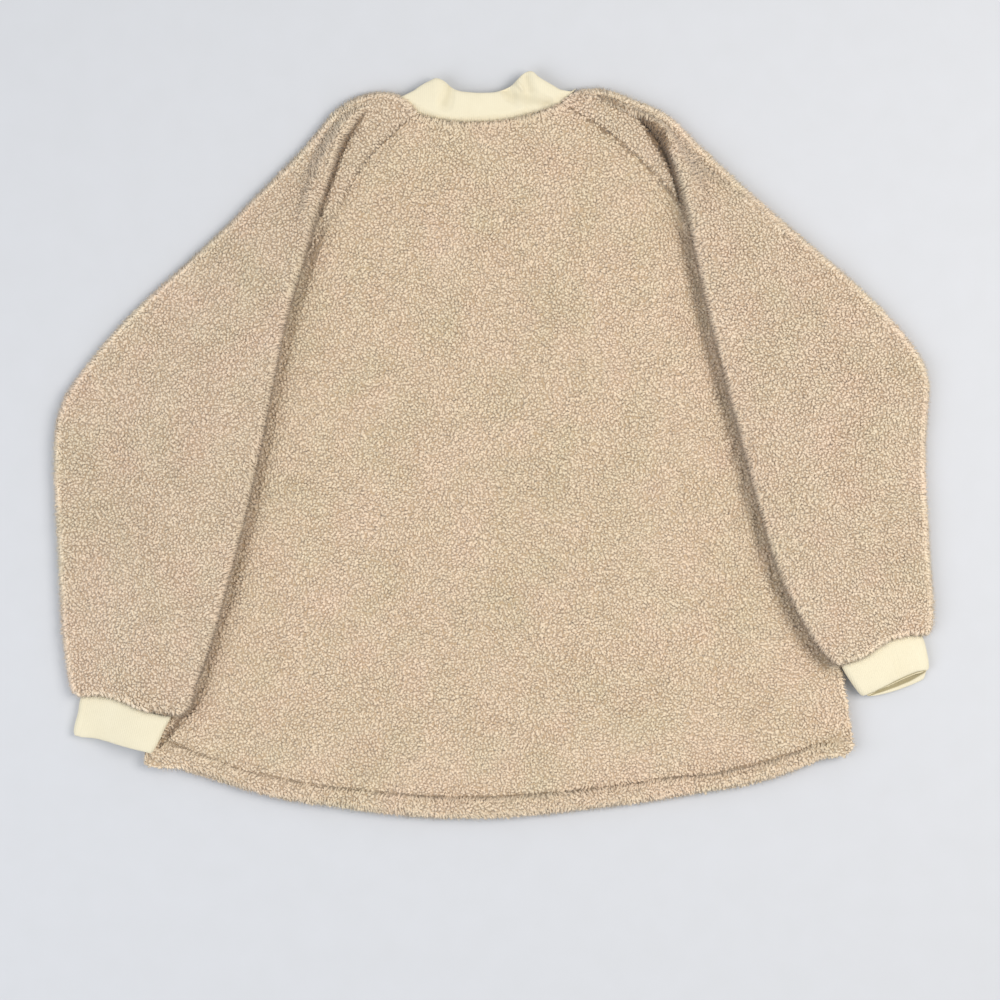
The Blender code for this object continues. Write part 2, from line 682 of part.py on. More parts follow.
def zip_strip(material):
    """Closed zip with its tapes, seen from the front of the jacket; the chain faces down."""
    hem_y = mix(HEM_CORNER_LEFT[1], HEM_CORNER_RIGHT[1], 0.5) - table_value(HEM, HEM_COLUMNS, 0.5, "drop")
    neck = neck_point(0.5, "front", FRONT_NECK_DIP, FRONT_NECK_ROUNDNESS, 0.0)
    top_y = neck.y + COLLAR_FRONT_DEPTH
    tape_bottom = TAPE_TOP - TAPE_THICKNESS
    profile = ((-ZIP_HALF, TAPE_TOP), (-ZIP_HALF, tape_bottom), (-CHAIN_HALF, tape_bottom),
               (-CHAIN_HALF, ZIP_BOTTOM), (CHAIN_HALF, ZIP_BOTTOM), (CHAIN_HALF, tape_bottom),
               (ZIP_HALF, tape_bottom), (ZIP_HALF, TAPE_TOP))
    mesh = bmesh.new()
    corners = [mesh.verts.new((x * MM, (hem_y + 2.0) * MM, z * MM)) for x, z in profile]
    face = mesh.faces.new(corners)
    made = bmesh.ops.extrude_face_region(mesh, geom=[face])
    moved = [item for item in made["geom"] if isinstance(item, bmesh.types.BMVert)]
    bmesh.ops.translate(mesh, verts=moved, vec=(0.0, (top_y - hem_y - 2.0) * MM, 0.0))
    bmesh.ops.triangulate(mesh, faces=mesh.faces[:])
    bmesh.ops.recalc_face_normals(mesh, faces=mesh.faces[:])
    data = bpy.data.meshes.new("zip")
    mesh.to_mesh(data)
    mesh.free()
    data.materials.append(material)
    item = bpy.data.objects.new("zip", data)
    bpy.context.scene.collection.objects.link(item)
    return item


def place_origin(items):
    """Move the meshes so that the origin is under the middle of the jacket, on the resting plane."""
    corners = [vertex.co for item in items for vertex in item.data.vertices]
    low = [min(corner[axis] for corner in corners) for axis in range(3)]
    high = [max(corner[axis] for corner in corners) for axis in range(3)]
    middle = Vector(((low[0] + high[0]) / 2, (low[1] + high[1]) / 2, low[2]))
    for item in items:
        for vertex in item.data.vertices:
            vertex.co -= middle


def main():
    clear_scene()
    body_pile = cloth_material("sherpa_fleece", SHERPA_COLOUR, 0.95)
    sleeve_pile = cloth_material("sherpa_fleece_sleeves", SLEEVE_COLOUR, 0.95)
    rib = cloth_material("rib_knit", RIB_COLOUR, 0.85)
    zip_cloth = cloth_material("zip_chain", ZIP_COLOUR, 0.45)
    pieces = [
        back_panel(body_pile),
        front_panel("front_left", -1, body_pile),
        front_panel("front_right", 1, body_pile),
        sleeve("sleeve_left", SLEEVE_LEFT_CAP, SLEEVE_LEFT_TUBE, -1, sleeve_pile),
        sleeve("sleeve_right", SLEEVE_RIGHT_CAP, SLEEVE_RIGHT_TUBE, 1, sleeve_pile),
        collar(rib),
        cuff("cuff_left", CUFF_LEFT, 0.0, rib),
        cuff("cuff_right", CUFF_RIGHT, CUFF_RIGHT_LOWER_REACH, rib),
        zip_strip(zip_cloth),
    ]
    place_origin(pieces)


main()
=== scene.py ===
"""Looks of a sherpa bomber jacket that lies flat with its sleeves folded over the back.

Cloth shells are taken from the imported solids, sherpa tufts and loose fibres are grown on them with
Geometry Nodes, and the rib knit, hem stitching and zip are finished round the same frame.
Blender 4.5. Metres, +Z up, neck towards +Y.
"""
import math
from functools import partial

import bmesh
import bpy
from bpy.props import FloatProperty, FloatVectorProperty, IntProperty, PointerProperty
from mathutils import Matrix, Vector, noise
from mathutils.bvhtree import BVHTree


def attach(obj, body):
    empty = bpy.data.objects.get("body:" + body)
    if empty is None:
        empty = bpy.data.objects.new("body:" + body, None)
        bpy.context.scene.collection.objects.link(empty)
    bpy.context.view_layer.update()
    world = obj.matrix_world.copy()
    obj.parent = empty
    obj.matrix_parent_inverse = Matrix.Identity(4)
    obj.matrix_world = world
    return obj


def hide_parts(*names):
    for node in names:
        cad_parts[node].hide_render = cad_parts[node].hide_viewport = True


bl_info = {
    "name": "Sherpa Bomber Jacket",
    "version": (1, 0, 0),
    "blender": (4, 5, 0),
    "location": "View3D > Sidebar > Jacket",
    "description": "Finishes a flat-laid sherpa bomber jacket round its packed frame",
    "category": "Object",
}

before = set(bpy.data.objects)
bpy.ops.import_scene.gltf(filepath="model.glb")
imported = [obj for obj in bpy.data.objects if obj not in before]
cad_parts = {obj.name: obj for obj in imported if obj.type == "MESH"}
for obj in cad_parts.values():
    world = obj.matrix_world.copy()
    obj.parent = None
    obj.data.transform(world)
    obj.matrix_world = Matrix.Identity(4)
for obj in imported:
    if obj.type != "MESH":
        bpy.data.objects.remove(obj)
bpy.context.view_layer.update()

MM = 0.001
BODY = "root"
RIB_NODES = ("collar", "cuff_left", "cuff_right")
DOWN = Vector((0.0, 0.0, -1.0))

# Kinds of nodes and settings that come up often
MATH = "ShaderNodeMath"
VECTOR_MATH = "ShaderNodeVectorMath"
JOIN = "ShaderNodeCombineXYZ"
SPLIT = "ShaderNodeSeparateXYZ"
NOISE = "ShaderNodeTexNoise"
MIX = "ShaderNodeMix"
MAP_RANGE = "ShaderNodeMapRange"
ATTRIBUTE = "ShaderNodeAttribute"
BUMP = "ShaderNodeBump"
NAMED = "GeometryNodeInputNamedAttribute"
STORE = "GeometryNodeStoreNamedAttribute"
SMOOTH = {"interpolation_type": "SMOOTHSTEP"}
COLOURS = {"data_type": "RGBA"}

# Directions in which a point of the cloth looks for open air: elevation in degrees, how many, their
# weight, and how far the ring is turned, as a share of a step
SKY_RINGS = ((12, 6, 0.4, 0.0), (38, 6, 1.0, 0.5), (68, 5, 1.3, 0.5))
SKY_REACH = 0.9
SKY_START = 0.1 * MM
SKY_GRAZING = 0.05
RAY_STEP = 0.01 * MM
RAY_TRIES = 4

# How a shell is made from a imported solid, and how far its cloth goes in under the pile
MERGE_REACH = 0.01 * MM
JOIN_TURN = 0.9
JOIN_SHAPE = 1.6
CONTACT_REACH = 1.4 * MM
RIB_REACH = 8.0 * MM
SIDE_SINK = 0.3
FRONT_SINK = 1.2 * MM
OPEN_GAIN = 3.0
WAVE_RUN = 70.0
BACK_WAVES = 1.2 * MM
SLEEVE_WAVES = 1.4 * MM

# At a seam between two pieces: least slant of the cloth, how far away and how far down the other piece
# is looked for, how far the cloth is pressed against it, and the share that it still sinks
SEAM_SLANT = 0.15
SEAM_REACH = 4.5 * MM
SEAM_DEPTH = 2.0 * MM
SEAM_PRESS = 0.6 * MM
SEAM_SINK = 0.6

# The cloth's sides along a fold that lies over other cloth, and how much painted shade darkens them
LEAST_SIDE = 0.02
FOLD_STEP = 8.0 * MM
FOLD_DROP = 30.0 * MM
FOLD_SHADE = 0.34

# How each kind of pile grows, besides the sizes that a user may change: the least distance between
# shapes and the most for a square metre, how much they stand up, on the flat and more at the rims, how
# far the rims comb them out, the least steepness of the cloth that bears them, and how much they turn
TUFTS = {"density": 1500000.0, "lift": 0.1, "rim_lift": 0.6, "comb_out": 3.0, "least_rim": -1.0,
         "jitter": 1.1}
FRINGE = {"spacing": 2.6 * MM, "density": 900000.0, "width": 3.0 * MM, "height": 2.8 * MM, "lift": 0.12,
          "rim_lift": 0.8, "comb_out": 6.0, "least_rim": 0.12, "jitter": 0.5}
FIBRES = {"spacing": 0.9 * MM, "density": 1800000.0, "width": 0.5 * MM, "height": 0.5 * MM, "lift": 0.35,
          "rim_lift": 0.7, "comb_out": 5.0, "least_rim": 0.1, "jitter": 0.9}
LEAST_OPEN = 0.02
SWIRL_TURN = 11.0
RIB_COMB = 9.0
STRAND_TIP = 0.9
EVEN_TUFT = 0.5

# Stretches of a piece across the jacket, in metres; the back's pile is grown in three
WHOLE = (-1.0, 1.0)
BACK_BANDS = ((-1.0, -0.12), (-0.12, 0.1), (0.1, 1.0))


def shifted(points, shift_x, shift_y, scale):
    """Points (x, y, half width) of a crease that runs beside another and is wider."""
    return tuple((x + shift_x, y + shift_y, scale * half) for x, y, half in points)


# Soft troughs and ridges in the cloth, in millimetres: points along the middle (x, y, half width),
# how deep or high they are, and how much painted shade darkens the cloth there, up to 1. Negative is a
# trough.
RAGLAN_LEFT = ((-79, 325, 5), (-93, 312, 7), (-108, 299, 8), (-123, 283, 8), (-136, 262, 7), (-149, 240, 5))
RAGLAN_RIGHT = ((90, 332, 5), (107, 322, 7), (124, 310, 8), (140, 295, 8), (154, 282, 7), (168, 269, 5))
RAGLAN_CREASES = (
    (RAGLAN_LEFT, -1.3),
    (RAGLAN_RIGHT, -1.2),
    (shifted(RAGLAN_LEFT, 11, -9, 1.3), 1.2),
    (shifted(RAGLAN_RIGHT, -10, -10, 1.3), 1.5),
    (shifted(RAGLAN_RIGHT, 9, 9, 1.1), 1.3),
)
# The crease at the top of the left sleeve's fold, with painted shade in its trough
SHOULDER_LEFT = ((-119, 337, 3), (-131, 321, 5.5), (-140, 307, 8), (-147, 292, 7.5), (-152, 279, 6),
                 (-159, 262, 5), (-166, 242, 4.5), (-170, 226, 4.5))
SHOULDER_CREASES = (
    (SHOULDER_LEFT, -3.8, 0.38),
    (shifted(SHOULDER_LEFT, -10, 4, 1.6), 1.3),
    (shifted(SHOULDER_LEFT, 11, -4, 1.6), 0.8),
)
# Where the sleeves' folds lie on the back, and where the collar is sewn on
FOLD_LEFT = ((-162, 248), (-172, 220), (-185, 180), (-198, 143), (-209, 100), (-218, 58), (-228, 11),
             (-239, -34), (-251, -82), (-267, -138), (-282, -190), (-299, -235), (-318, -266))
FOLD_RIGHT = ((183, 280), (192, 252), (201, 212), (212, 155), (223, 102), (234, 58), (246, 11),
              (255, -31), (267, -79), (280, -128), (295, -163), (316, -205), (338, -229))
NECK_SEAM = ((-86, 351), (-73, 337), (-59, 329), (-44, 324), (-26, 322), (-6, 323), (17, 324), (32, 327),
             (48, 332), (63, 336), (76, 342), (90, 354))


def beside(line, shift_x, shift_y, half, last_half=None):
    """Points (x, y, half width) of a crease that runs beside a line, and may widen towards its end."""
    last_half = last_half or half
    count = len(line) - 1
    return tuple((x + shift_x, y + shift_y, half + (last_half - half) * index / count)
                 for index, (x, y) in enumerate(line))


NECK_RIDGE = (beside(NECK_SEAM, 0, -5, 9), 1.1)
BACK_CREASES = RAGLAN_CREASES + SHOULDER_CREASES + (
    NECK_RIDGE,
    # Troughs beside the sleeves' folds and along the left cuff's edge, the narrow ones with painted shade in
    # them
    (beside(FOLD_LEFT, 5, 0, 9, 8), -2.6, 0.24),
    (beside(FOLD_LEFT, 12, 0, 15, 17), -1.8),
    (beside(FOLD_RIGHT, -7, 0, 9, 13), -2.8, 0.24),
    (beside(FOLD_RIGHT, -14, 0, 17, 27), -2.2),
    (((-306, -256, 8), (-321, -274, 8), (-336, -292, 4)), -3.2, 0.36),
    (((-90, -316, 34), (-20, -324, 44), (60, -320, 42), (130, -308, 30)), -1.8),
    (((-60, 250, 26), (0, 244, 34), (66, 252, 26)), -1.3),
    (((-200, -120, 30), (-170, -190, 38), (-130, -240, 30)), 1.2),
    (((120, -60, 34), (150, -130, 42), (160, -210, 30)), -1.3),
    (((-10, 60, 40), (-30, -20, 50), (-60, -90, 36)), -1.1),
)
LEFT_SLEEVE_CREASES = RAGLAN_CREASES + SHOULDER_CREASES + (
    NECK_RIDGE,
    (beside(FOLD_LEFT, -10, 0, 14, 20), 2.2),
    (((-250, 120, 22), (-300, 60, 34), (-330, -20, 30)), -1.4),
    (((-400, 40, 20), (-380, -60, 32), (-390, -150, 24)), 1.3),
)
# The hollow beside the right sleeve's fold, bare down to the knitted ground, and darkened further by painted
# shade
POCKET = ((155, 323, 4), (164, 315, 8), (172, 304, 11), (177, 292, 9), (183, 279, 6), (187, 268, 4.5),
          (191, 254, 3.5), (195, 234, 2.5))
RIGHT_SLEEVE_CREASES = RAGLAN_CREASES + (
    (POCKET, -5.0, 1.0),
    NECK_RIDGE,
    (beside(FOLD_RIGHT, 11, 0, 14, 20), 2.4),
    (((300, 110, 24), (330, 40, 34), (350, -40, 28)), -1.4),
    (((390, 60, 20), (400, -30, 30), (395, -120, 24)), 1.2),
)
COLLAR_CREASES = (
    (beside(NECK_SEAM, 0, 0, 8), -2.2),
    # The collar's valleys, with painted shade in them
    (((-36, 367, 4), (-35, 358, 7), (-37, 349, 9), (-40, 343, 11)), -3.2, 0.22),
    (((17, 358, 6), (26, 350, 10), (45, 345, 14), (62, 341, 8)), -3.9, 0.22),
    (((42, 365, 6), (46, 354, 10)), -1.5, 0.2),
    (((31, 362, 2.5), (38, 354, 3)), 2.2),
)
# The mouth of the right cuff, where painted shade darkens the rib
CUFF_MOUTH = ((371, -259, 1.5), (383, -254.5, 3), (399, -248.5, 4.5), (413, -243.5, 4.5), (423, -239, 3.5),
              (430, -236, 1.5))
CUFF_CREASES = (
    (((400, -222, 2.5), (404, -240, 3.5)), -0.9),
    (CUFF_MOUTH, -4.0, 1.0),
)

# Corners pulled out on the floor, in millimetres: place, shift and reach
COLLAR_PULLS = ((39, 372, 0, 3, 16), (87, 352, 5, 3, 14), (-82, 349, -8, 0, 16))
HEM_PULLS = ((-346, -308, -5, -8, 34), (350, -304, 2, -9, 34), (-8, -372, 0, -2, 170),
             (-231, -346, -1, -2.5, 70), (262, -334, 1.5, -2.5, 85))
# A sleeve and its cuff are drawn back together in the middle of their seam, and out at its inner end
WRIST_PULLS = ((402, -209, -2.5, 8, 42), (-388, -255, -1, 6, 42), (-313, -256, 6, 0, 28))
CUFF_PULLS = WRIST_PULLS + ((-421, -280, -3.5, -1, 22),)

# Teeth of the zip, in metres: from one to the next, size across, along and through, their bevel and shift
# off the chain's middle, the bare ends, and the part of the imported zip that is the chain
ZIP_PITCH = 3.0 * MM
ZIP_TOOTH = (3.4 * MM, 1.25 * MM, 1.2 * MM)
TOOTH_BEVEL = 0.25 * MM
TOOTH_SHIFT = 0.9 * MM
ZIP_END = 4.0 * MM
CHAIN_HALF = 2.7 * MM
CHAIN_RISE = 2.0 * MM

# Stitches of the hem, and how the line that they follow is laid on the cloth: its steps in millimetres, and
# in metres where its rays start, how high it lies and how far the pile stays clear of it
STITCHES = {"spacing": 3.4 * MM, "length": 2.9 * MM, "width": 0.7 * MM}
LINE_STEP = 4.0
LINE_TOP = 0.1
LINE_RISE = 0.5 * MM
SEAM_BARE = 0.9 * MM

# Line of hem stitches along the back, in millimetres
HEM_STITCHES = (
    (-345, -283), (-319.9, -294.7), (-300.1, -304.3), (-272.1, -314), (-255.7, -320.9), (-234.1, -324.6),
    (-214.3, -330), (-184.7, -337.7), (-151.6, -342.1), (-99, -348.2), (-68.5, -351.1), (2, -352),
    (72.5, -347.9), (141.2, -341.8), (164.3, -337.6), (187.2, -336.6), (214.9, -334.1), (233.3, -329.1),
    (264, -322), (294.9, -314.3), (317.9, -306.3), (341.1, -297.6), (353, -293),
)
# A groove along the hem's stitches, with painted shade in it
HEM_GROOVE = (beside(HEM_STITCHES, 0, 0.5, 4), -1.9, 0.22)
HEM_RIDGE = (beside(HEM_STITCHES, 0, -9, 8), 1.8)

# Stage: the floor's size and level, the lights' names, places, sizes, powers and colours, and their aim
FLOOR_SIZE = 8.0
FLOOR_LEVEL = -0.5 * MM
LIGHTS = (("key", (1.35, 0.15, 2.0), 1.3, 35.0, "#FFFAF6"),
          ("fill", (-1.6, -0.6, 1.8), 1.8, 25.0, "#F4F7FF"))
LIGHT_AIM = (0.0, -0.05, 0.0)
SENSOR = 36.0


def srgb(text):
    """Linear colour of an sRGB hex value."""
    channels = [int(text[index:index + 2], 16) / 255 for index in (1, 3, 5)]
    return tuple(c / 12.92 if c <= 0.04045 else ((c + 0.055) / 1.055) ** 2.4 for c in channels) + (1.0,)


def length(name, description, default):
    """A length that a user may change, in metres."""
    return FloatProperty(name=name, description=description, default=default, subtype="DISTANCE",
                         unit="LENGTH")


def colour(name, description, default):
    """A colour that a user may change, from its sRGB hex value."""
    return FloatVectorProperty(name=name, description=description, default=srgb(default), subtype="COLOR",
                               size=4, min=0.0, max=1.0)


class JacketColours(bpy.types.PropertyGroup):
    # From the bottom of the curls to their tips: painted shade between the curls, up to the pale tips
    body_roots: colour("Body roots", "Fleece of the body between its curls", "#BEA78A")
    body_middle: colour("Body middle", "Fleece of the body half way up its curls", "#DDC9B0")
    body_tips: colour("Body tips", "Fleece of the body on top of its curls", "#E9DAC4")
    sleeve_roots: colour("Sleeve roots", "Fleece of the sleeves between its curls", "#B9A288")
    sleeve_middle: colour("Sleeve middle", "Fleece of the sleeves half way up its curls", "#D9C6AE")
    sleeve_tips: colour("Sleeve tips", "Fleece of the sleeves on top of its curls", "#E8D9C5")
    rosy_nap: colour("Rosy nap", "Tint of the rosy patches of the nap", "#FFF4F0")
    straw_nap: colour("Straw nap", "Tint of the straw-coloured patches of the nap", "#F4F8EC")
    # The ground colour is also the colour that painted shade darkens the fleece to, in its troughs and folds
    ground: colour("Ground", "Knitted ground of the fleece, bare in its pockets", "#937A5E")
    rib: colour("Rib", "Rib knit where it is darker", "#E1D7B9")
    pale_rib: colour("Pale rib", "Rib knit where it is paler", "#E9E0C4")
    # Rib shade: the darker, greyer colour of painted shade in the collar's valleys and the mouth of a cuff
    rib_shade: colour("Rib shade", "Wrong side of the rib, in the mouth of a cuff", "#ABA07E")
    thread: colour("Thread", "Thread of the hem's stitches", "#A48A69")


class JacketPile(bpy.types.PropertyGroup):
    spacing: length("Spacing", "Least distance between tufts", 2.6 * MM)
    length: length("Length", "Length of a curled tuft", 4.5 * MM)
    width: length("Width", "Width of a curled tuft", 4.0 * MM)
    height: length("Height", "Height of a curled tuft", 2.1 * MM)
    sink: length("Sink", "How far the backing lies under the top of the pile", 1.7 * MM)
    fringe: length("Fringe", "Length of the tufts that stand out at edges", 8.5 * MM)
    fibre: length("Loose fibre", "Length of the loose fibres at free edges", 6.5 * MM)
    seed: IntProperty(name="Seed", description="Seed of the tufts' places", default=7, min=0)


class JacketStage(bpy.types.PropertyGroup):
    camera_height: length("Camera height", "Height of the camera over the floor", 2.6)
    view_width: length("View width", "Width of the camera's view at the cloth", 1.0)
    roll: FloatProperty(name="Roll", description="How far the camera is turned about its axis",
                        default=math.radians(-1.15), subtype="ANGLE", unit="ROTATION")
    aim: FloatVectorProperty(name="Aim", description="Point on the cloth that the camera looks at",
                             default=(6.9 * MM, -55.6 * MM, 16 * MM), subtype="XYZ", unit="LENGTH")


def feed(node, values):
    """Set a node's inputs to numbers, or link them to sockets or to the first outputs of nodes."""
    for key, value in values.items():
        if isinstance(value, bpy.types.Node):
            value = value.outputs[0]
        if isinstance(value, bpy.types.NodeSocket):
            node.id_data.links.new(value, node.inputs[key])
        else:
            node.inputs[key].default_value = value


def add_node(tree, kind, settings=None, values=()):
    """Add a node. Settings may be its operation alone, and values may be its inputs in order."""
    node = tree.nodes.new(kind)
    if isinstance(settings, str):
        settings = {"operation": settings}
    for key, value in (settings or {}).items():
        setattr(node, key, value)
    feed(node, values if isinstance(values, dict) else dict(enumerate(values)))
    return node


def new_material(name):
    """A material, what adds a node to it, its shader and the places of its points."""
    material = bpy.data.materials.new(name)
    material.use_nodes = True
    tree = material.node_tree
    add = partial(add_node, tree)
    return material, add, tree.nodes["Principled BSDF"], add("ShaderNodeTexCoord").outputs


def darkened(add, plain, low, high, dark):
    """A colour turned towards a dark one by painted shade, from a low stored level to a high one."""
    pocket = add(ATTRIBUTE, {"attribute_name": "pocket"}).outputs["Fac"]
    depth = add(MAP_RANGE, SMOOTH, {"Value": pocket, "From Min": low, "From Max": high})
    return add(MIX, COLOURS, {"Factor": depth, 6: plain, 7: dark}).outputs[2]


def sherpa_fleece(name, part, ground):
    """Knitted polyester sherpa, brushed and tumbled into small curls: matt, with painted shade between
    the curls, pale on their tops and paler at the rims by painted light, with a faint fuzz at grazing
    angles and slow changes of tone.

    On the tufts the painted shade follows their height. On the ground under them it follows a pattern
    of curls. Painted shade stored on the cloth in troughs and folds darkens both further."""
    material, add, shader, places = new_material(name)
    colours = bpy.context.scene.jacket_colours
    # Curls are about 3.8 mm across
    curls = add("ShaderNodeTexVoronoi", {"feature": "DISTANCE_TO_EDGE"},
                {"Vector": places["Object"], "Scale": 260.0, "Randomness": 0.9})
    crown = add(MAP_RANGE, SMOOTH, {"Value": curls.outputs["Distance"], "From Max": 0.32})
    # Height up the curls, which the painted shade follows: on the tufts their own, on the ground a pattern
    tip = crown if ground else add(ATTRIBUTE, {"attribute_name": "tip"}).outputs["Fac"]
    # Painted light: where the cloth faces sideways at the rims its tone is lifted towards the pale tips
    rim = add(ATTRIBUTE, {"attribute_name": "rim"}).outputs["Fac"]
    side = add(MAP_RANGE, SMOOTH, {"Value": rim, "From Min": 0.03, "From Max": 0.3, "To Max": 0.95})
    # Painted shade: the tone darkens from the pale tips down between the curls
    ramp = add("ShaderNodeValToRGB", values={"Fac": add(MATH, "MAXIMUM", (tip, side))})
    ramp.color_ramp.elements.new(0.42)
    for element, level in zip(ramp.color_ramp.elements, ("roots", "middle", "tips")):
        element.color = getattr(colours, f"{part}_{level}")
    # Rosy and straw-coloured patches of nap, 30 to 70 mm across
    patches = add(NOISE, values={"Vector": places["Object"], "Scale": 22.0, "Detail": 2.0})
    tint = add(MIX, COLOURS, {"Factor": patches, 6: colours.rosy_nap, 7: colours.straw_nap}).outputs[2]
    tone = add(MIX, {**COLOURS, "blend_type": "MULTIPLY"}, {"Factor": 1.0, 6: ramp, 7: tint}).outputs[2]
    # One tuft is a little paler than the next, at random, and painted light makes all paler at the rims
    tuft = add(ATTRIBUTE, {"attribute_name": "tuft"}).outputs["Fac"]
    tone_and_rim_light = add(MATH, "MULTIPLY_ADD", (side, 0.12, add(MATH, "MULTIPLY_ADD", (tuft, 0.16, 0.92))))
    lit = add("ShaderNodeHueSaturation", values={"Color": tone, "Value": tone_and_rim_light})
    # Curled fibres lie about 0.9 mm apart
    fibres = add(NOISE, values={"Vector": places["Object"], "Scale": 700.0, "Detail": 2.0})
    relief = add(MATH, "MULTIPLY_ADD", (crown, 2.5 if ground else 0.0, fibres))
    bump = add(BUMP, values={"Height": relief, "Strength": 0.5, "Distance": 0.9 * MM})
    # Painted shade stored on the cloth darkens it towards the ground colour
    feed(shader, {"Base Color": darkened(add, lit, 0.08, 0.4, colours.ground), "Normal": bump,
                  "Roughness": 0.95, "IOR": 1.5, "Specular IOR Level": 0.15, "Sheen Weight": 0.25,
                  "Sheen Roughness": 0.6})
    return material


def rib_knit():
    """Fine cotton rib knit with some elastane: matt, soft, with wales about 2 mm apart.

    The real wales are nearer 1.2 mm, which would be too fine to show, so they are drawn coarser.
    The UV map is in millimetres: across the wales and along them."""
    material, add, shader, places = new_material("cotton_rib_knit")
    colours = bpy.context.scene.jacket_colours
    axes = add(SPLIT, values=(places["UV"],)).outputs
    # A wale every 2 mm and a course every 1.5 mm
    wales = add(MATH, "SINE", (add(MATH, "MULTIPLY", (axes["X"], math.pi)),))
    courses = add(MATH, "SINE", (add(MATH, "MULTIPLY", (axes["Y"], 4.2)),))
    knit = add(MATH, "MULTIPLY_ADD", (courses, 0.25, wales))
    fuzz = add(NOISE, values={"Vector": places["Object"], "Scale": 700.0, "Detail": 3.0})
    relief = add(MATH, "MULTIPLY_ADD", (fuzz, 1.6, knit))
    bump = add(BUMP, values={"Height": relief, "Strength": 0.35, "Distance": 0.3 * MM})
    patches = add(NOISE, values={"Vector": places["Object"], "Scale": 45.0, "Detail": 3.0})
    tone = add(MIX, COLOURS, {"Factor": patches, 6: colours.rib, 7: colours.pale_rib}).outputs[2]
    shade = add(MATH, "MULTIPLY_ADD", (wales, 0.015, 0.985))
    lit = add("ShaderNodeHueSaturation", values={"Color": tone, "Value": shade})
    # Painted shade: in the collar's valleys and inside the mouth of a cuff the knit turns darker and greyer
    feed(shader, {"Base Color": darkened(add, lit, 0.1, 0.45, colours.rib_shade), "Normal": bump,
                  "Roughness": 0.88, "IOR": 1.5, "Specular IOR Level": 0.2, "Sheen Weight": 0.15})
    return material


def sewing_thread():
    """Spun polyester thread, twisted from fine yarns: a faint gloss with a turn every 1.5 mm."""
    material, add, shader, places = new_material("spun_polyester_thread")
    twist = add("ShaderNodeTexWave", {"bands_direction": "DIAGONAL"},
                {"Vector": places["Object"], "Scale": 300.0, "Distortion": 1.0}).outputs["Fac"]
    bump = add(BUMP, values={"Height": twist, "Strength": 0.4, "Distance": 0.1 * MM})
    feed(shader, {"Base Color": bpy.context.scene.jacket_colours.thread, "Normal": bump, "Roughness": 0.6})
    return material


def woven_tape():
    """Woven polyester zip tape: matt, a fine diagonal twill about 0.8 mm wide."""
    material, add, shader, places = new_material("woven_polyester_tape")
    twill = add("ShaderNodeTexWave", {"bands_direction": "DIAGONAL"},
                {"Vector": places["Object"], "Scale": 400.0, "Distortion": 0.4}).outputs["Fac"]
    tone = add(MIX, COLOURS, {"Factor": twill, 6: srgb("#B39A7C"), 7: srgb("#C7AE90")}).outputs[2]
    bump = add(BUMP, values={"Height": twill, "Strength": 0.3, "Distance": 0.1 * MM})
    feed(shader, {"Base Color": tone, "Normal": bump, "Roughness": 0.85})
    return material


def moulded_acetal():
    """Injection-moulded acetal zip teeth: smooth, half gloss, with slight changes from tooth to tooth."""
    material, add, shader, places = new_material("moulded_acetal")
    change = add(NOISE, values={"Vector": places["Object"], "Scale": 160.0})
    tone = add(MIX, COLOURS, {"Factor": change, 6: srgb("#8A7354"), 7: srgb("#9B8465")}).outputs[2]
    feed(shader, {"Base Color": tone, "Roughness": 0.35})
    return material


def pale_floor():
    """Painted studio floor: pale grey, matt, nearly even."""
    material, add, shader, places = new_material("painted_studio_floor")
    mottle = add(NOISE, values={"Vector": places["Object"], "Scale": 30.0, "Detail": 4.0})
    tone = add(MIX, COLOURS, {"Factor": mottle, 6: srgb("#C9CACB"), 7: srgb("#CDCED0")}).outputs[2]
    feed(shader, {"Base Color": tone, "Roughness": 0.9})
    return material


def material_named(name, make):
    """The material of that name, made the first time that it is asked for."""
    return bpy.data.materials.get(name) or make()


def fleece(part, ground=False):
    """The fleece of the body or of a sleeve: its tufts, or the ground that they stand on."""
    name = f"sherpa_{part}_{'ground' if ground else 'pile'}"
    return material_named(name, lambda: sherpa_fleece(name, part, ground))


def face_tree(names):
    """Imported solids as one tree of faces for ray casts."""
    points = []
    faces = []
    for name in names:
        first = len(points)
        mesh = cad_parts[name].data
        points += [vertex.co.copy() for vertex in mesh.vertices]
        faces += [[first + index for index in polygon.vertices] for polygon in mesh.polygons]
    return BVHTree.FromPolygons(points, faces)


SOLIDS = face_tree(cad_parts)
RIB = face_tree(RIB_NODES)
FLEECE = face_tree([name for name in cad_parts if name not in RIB_NODES])


def blocked(origin, direction, reach):
    """Whether a ray meets a surface that faces it, once it has left the solid it starts in."""
    for _ in range(RAY_TRIES):
        place, normal, _, distance = SOLIDS.ray_cast(origin, direction, reach)
        if place is None:
            return False
        if normal.dot(direction) < 0.0:
            return True
        origin = place + direction * RAY_STEP
        reach -= distance
        if reach <= 0.0:
            return False
    return False


def sky_directions():
    """Directions to the open air and their weights, each ring turned against the lowest."""
    directions = []
    for elevation, count, weight, turned in SKY_RINGS:
        up = math.radians(elevation)
        for index in range(count):
            turn = math.tau * (index + turned) / count
            directions.append((Vector((math.cos(turn) * math.cos(up), math.sin(turn) * math.cos(up),
                                       math.sin(up))), weight))
    return directions


def openness(place, normal, directions):
    """Share of the open air that a point of the cloth sees, 0 where it is hidden."""
    start = place + normal * SKY_START
    seen = 0.0
    total = 0.0
    for direction, weight in directions:
        if direction.dot(normal) < SKY_GRAZING:
            continue
        total += weight
        if not blocked(start, direction, SKY_REACH):
            seen += weight
    return seen / total if total > 0.0 else 0.0


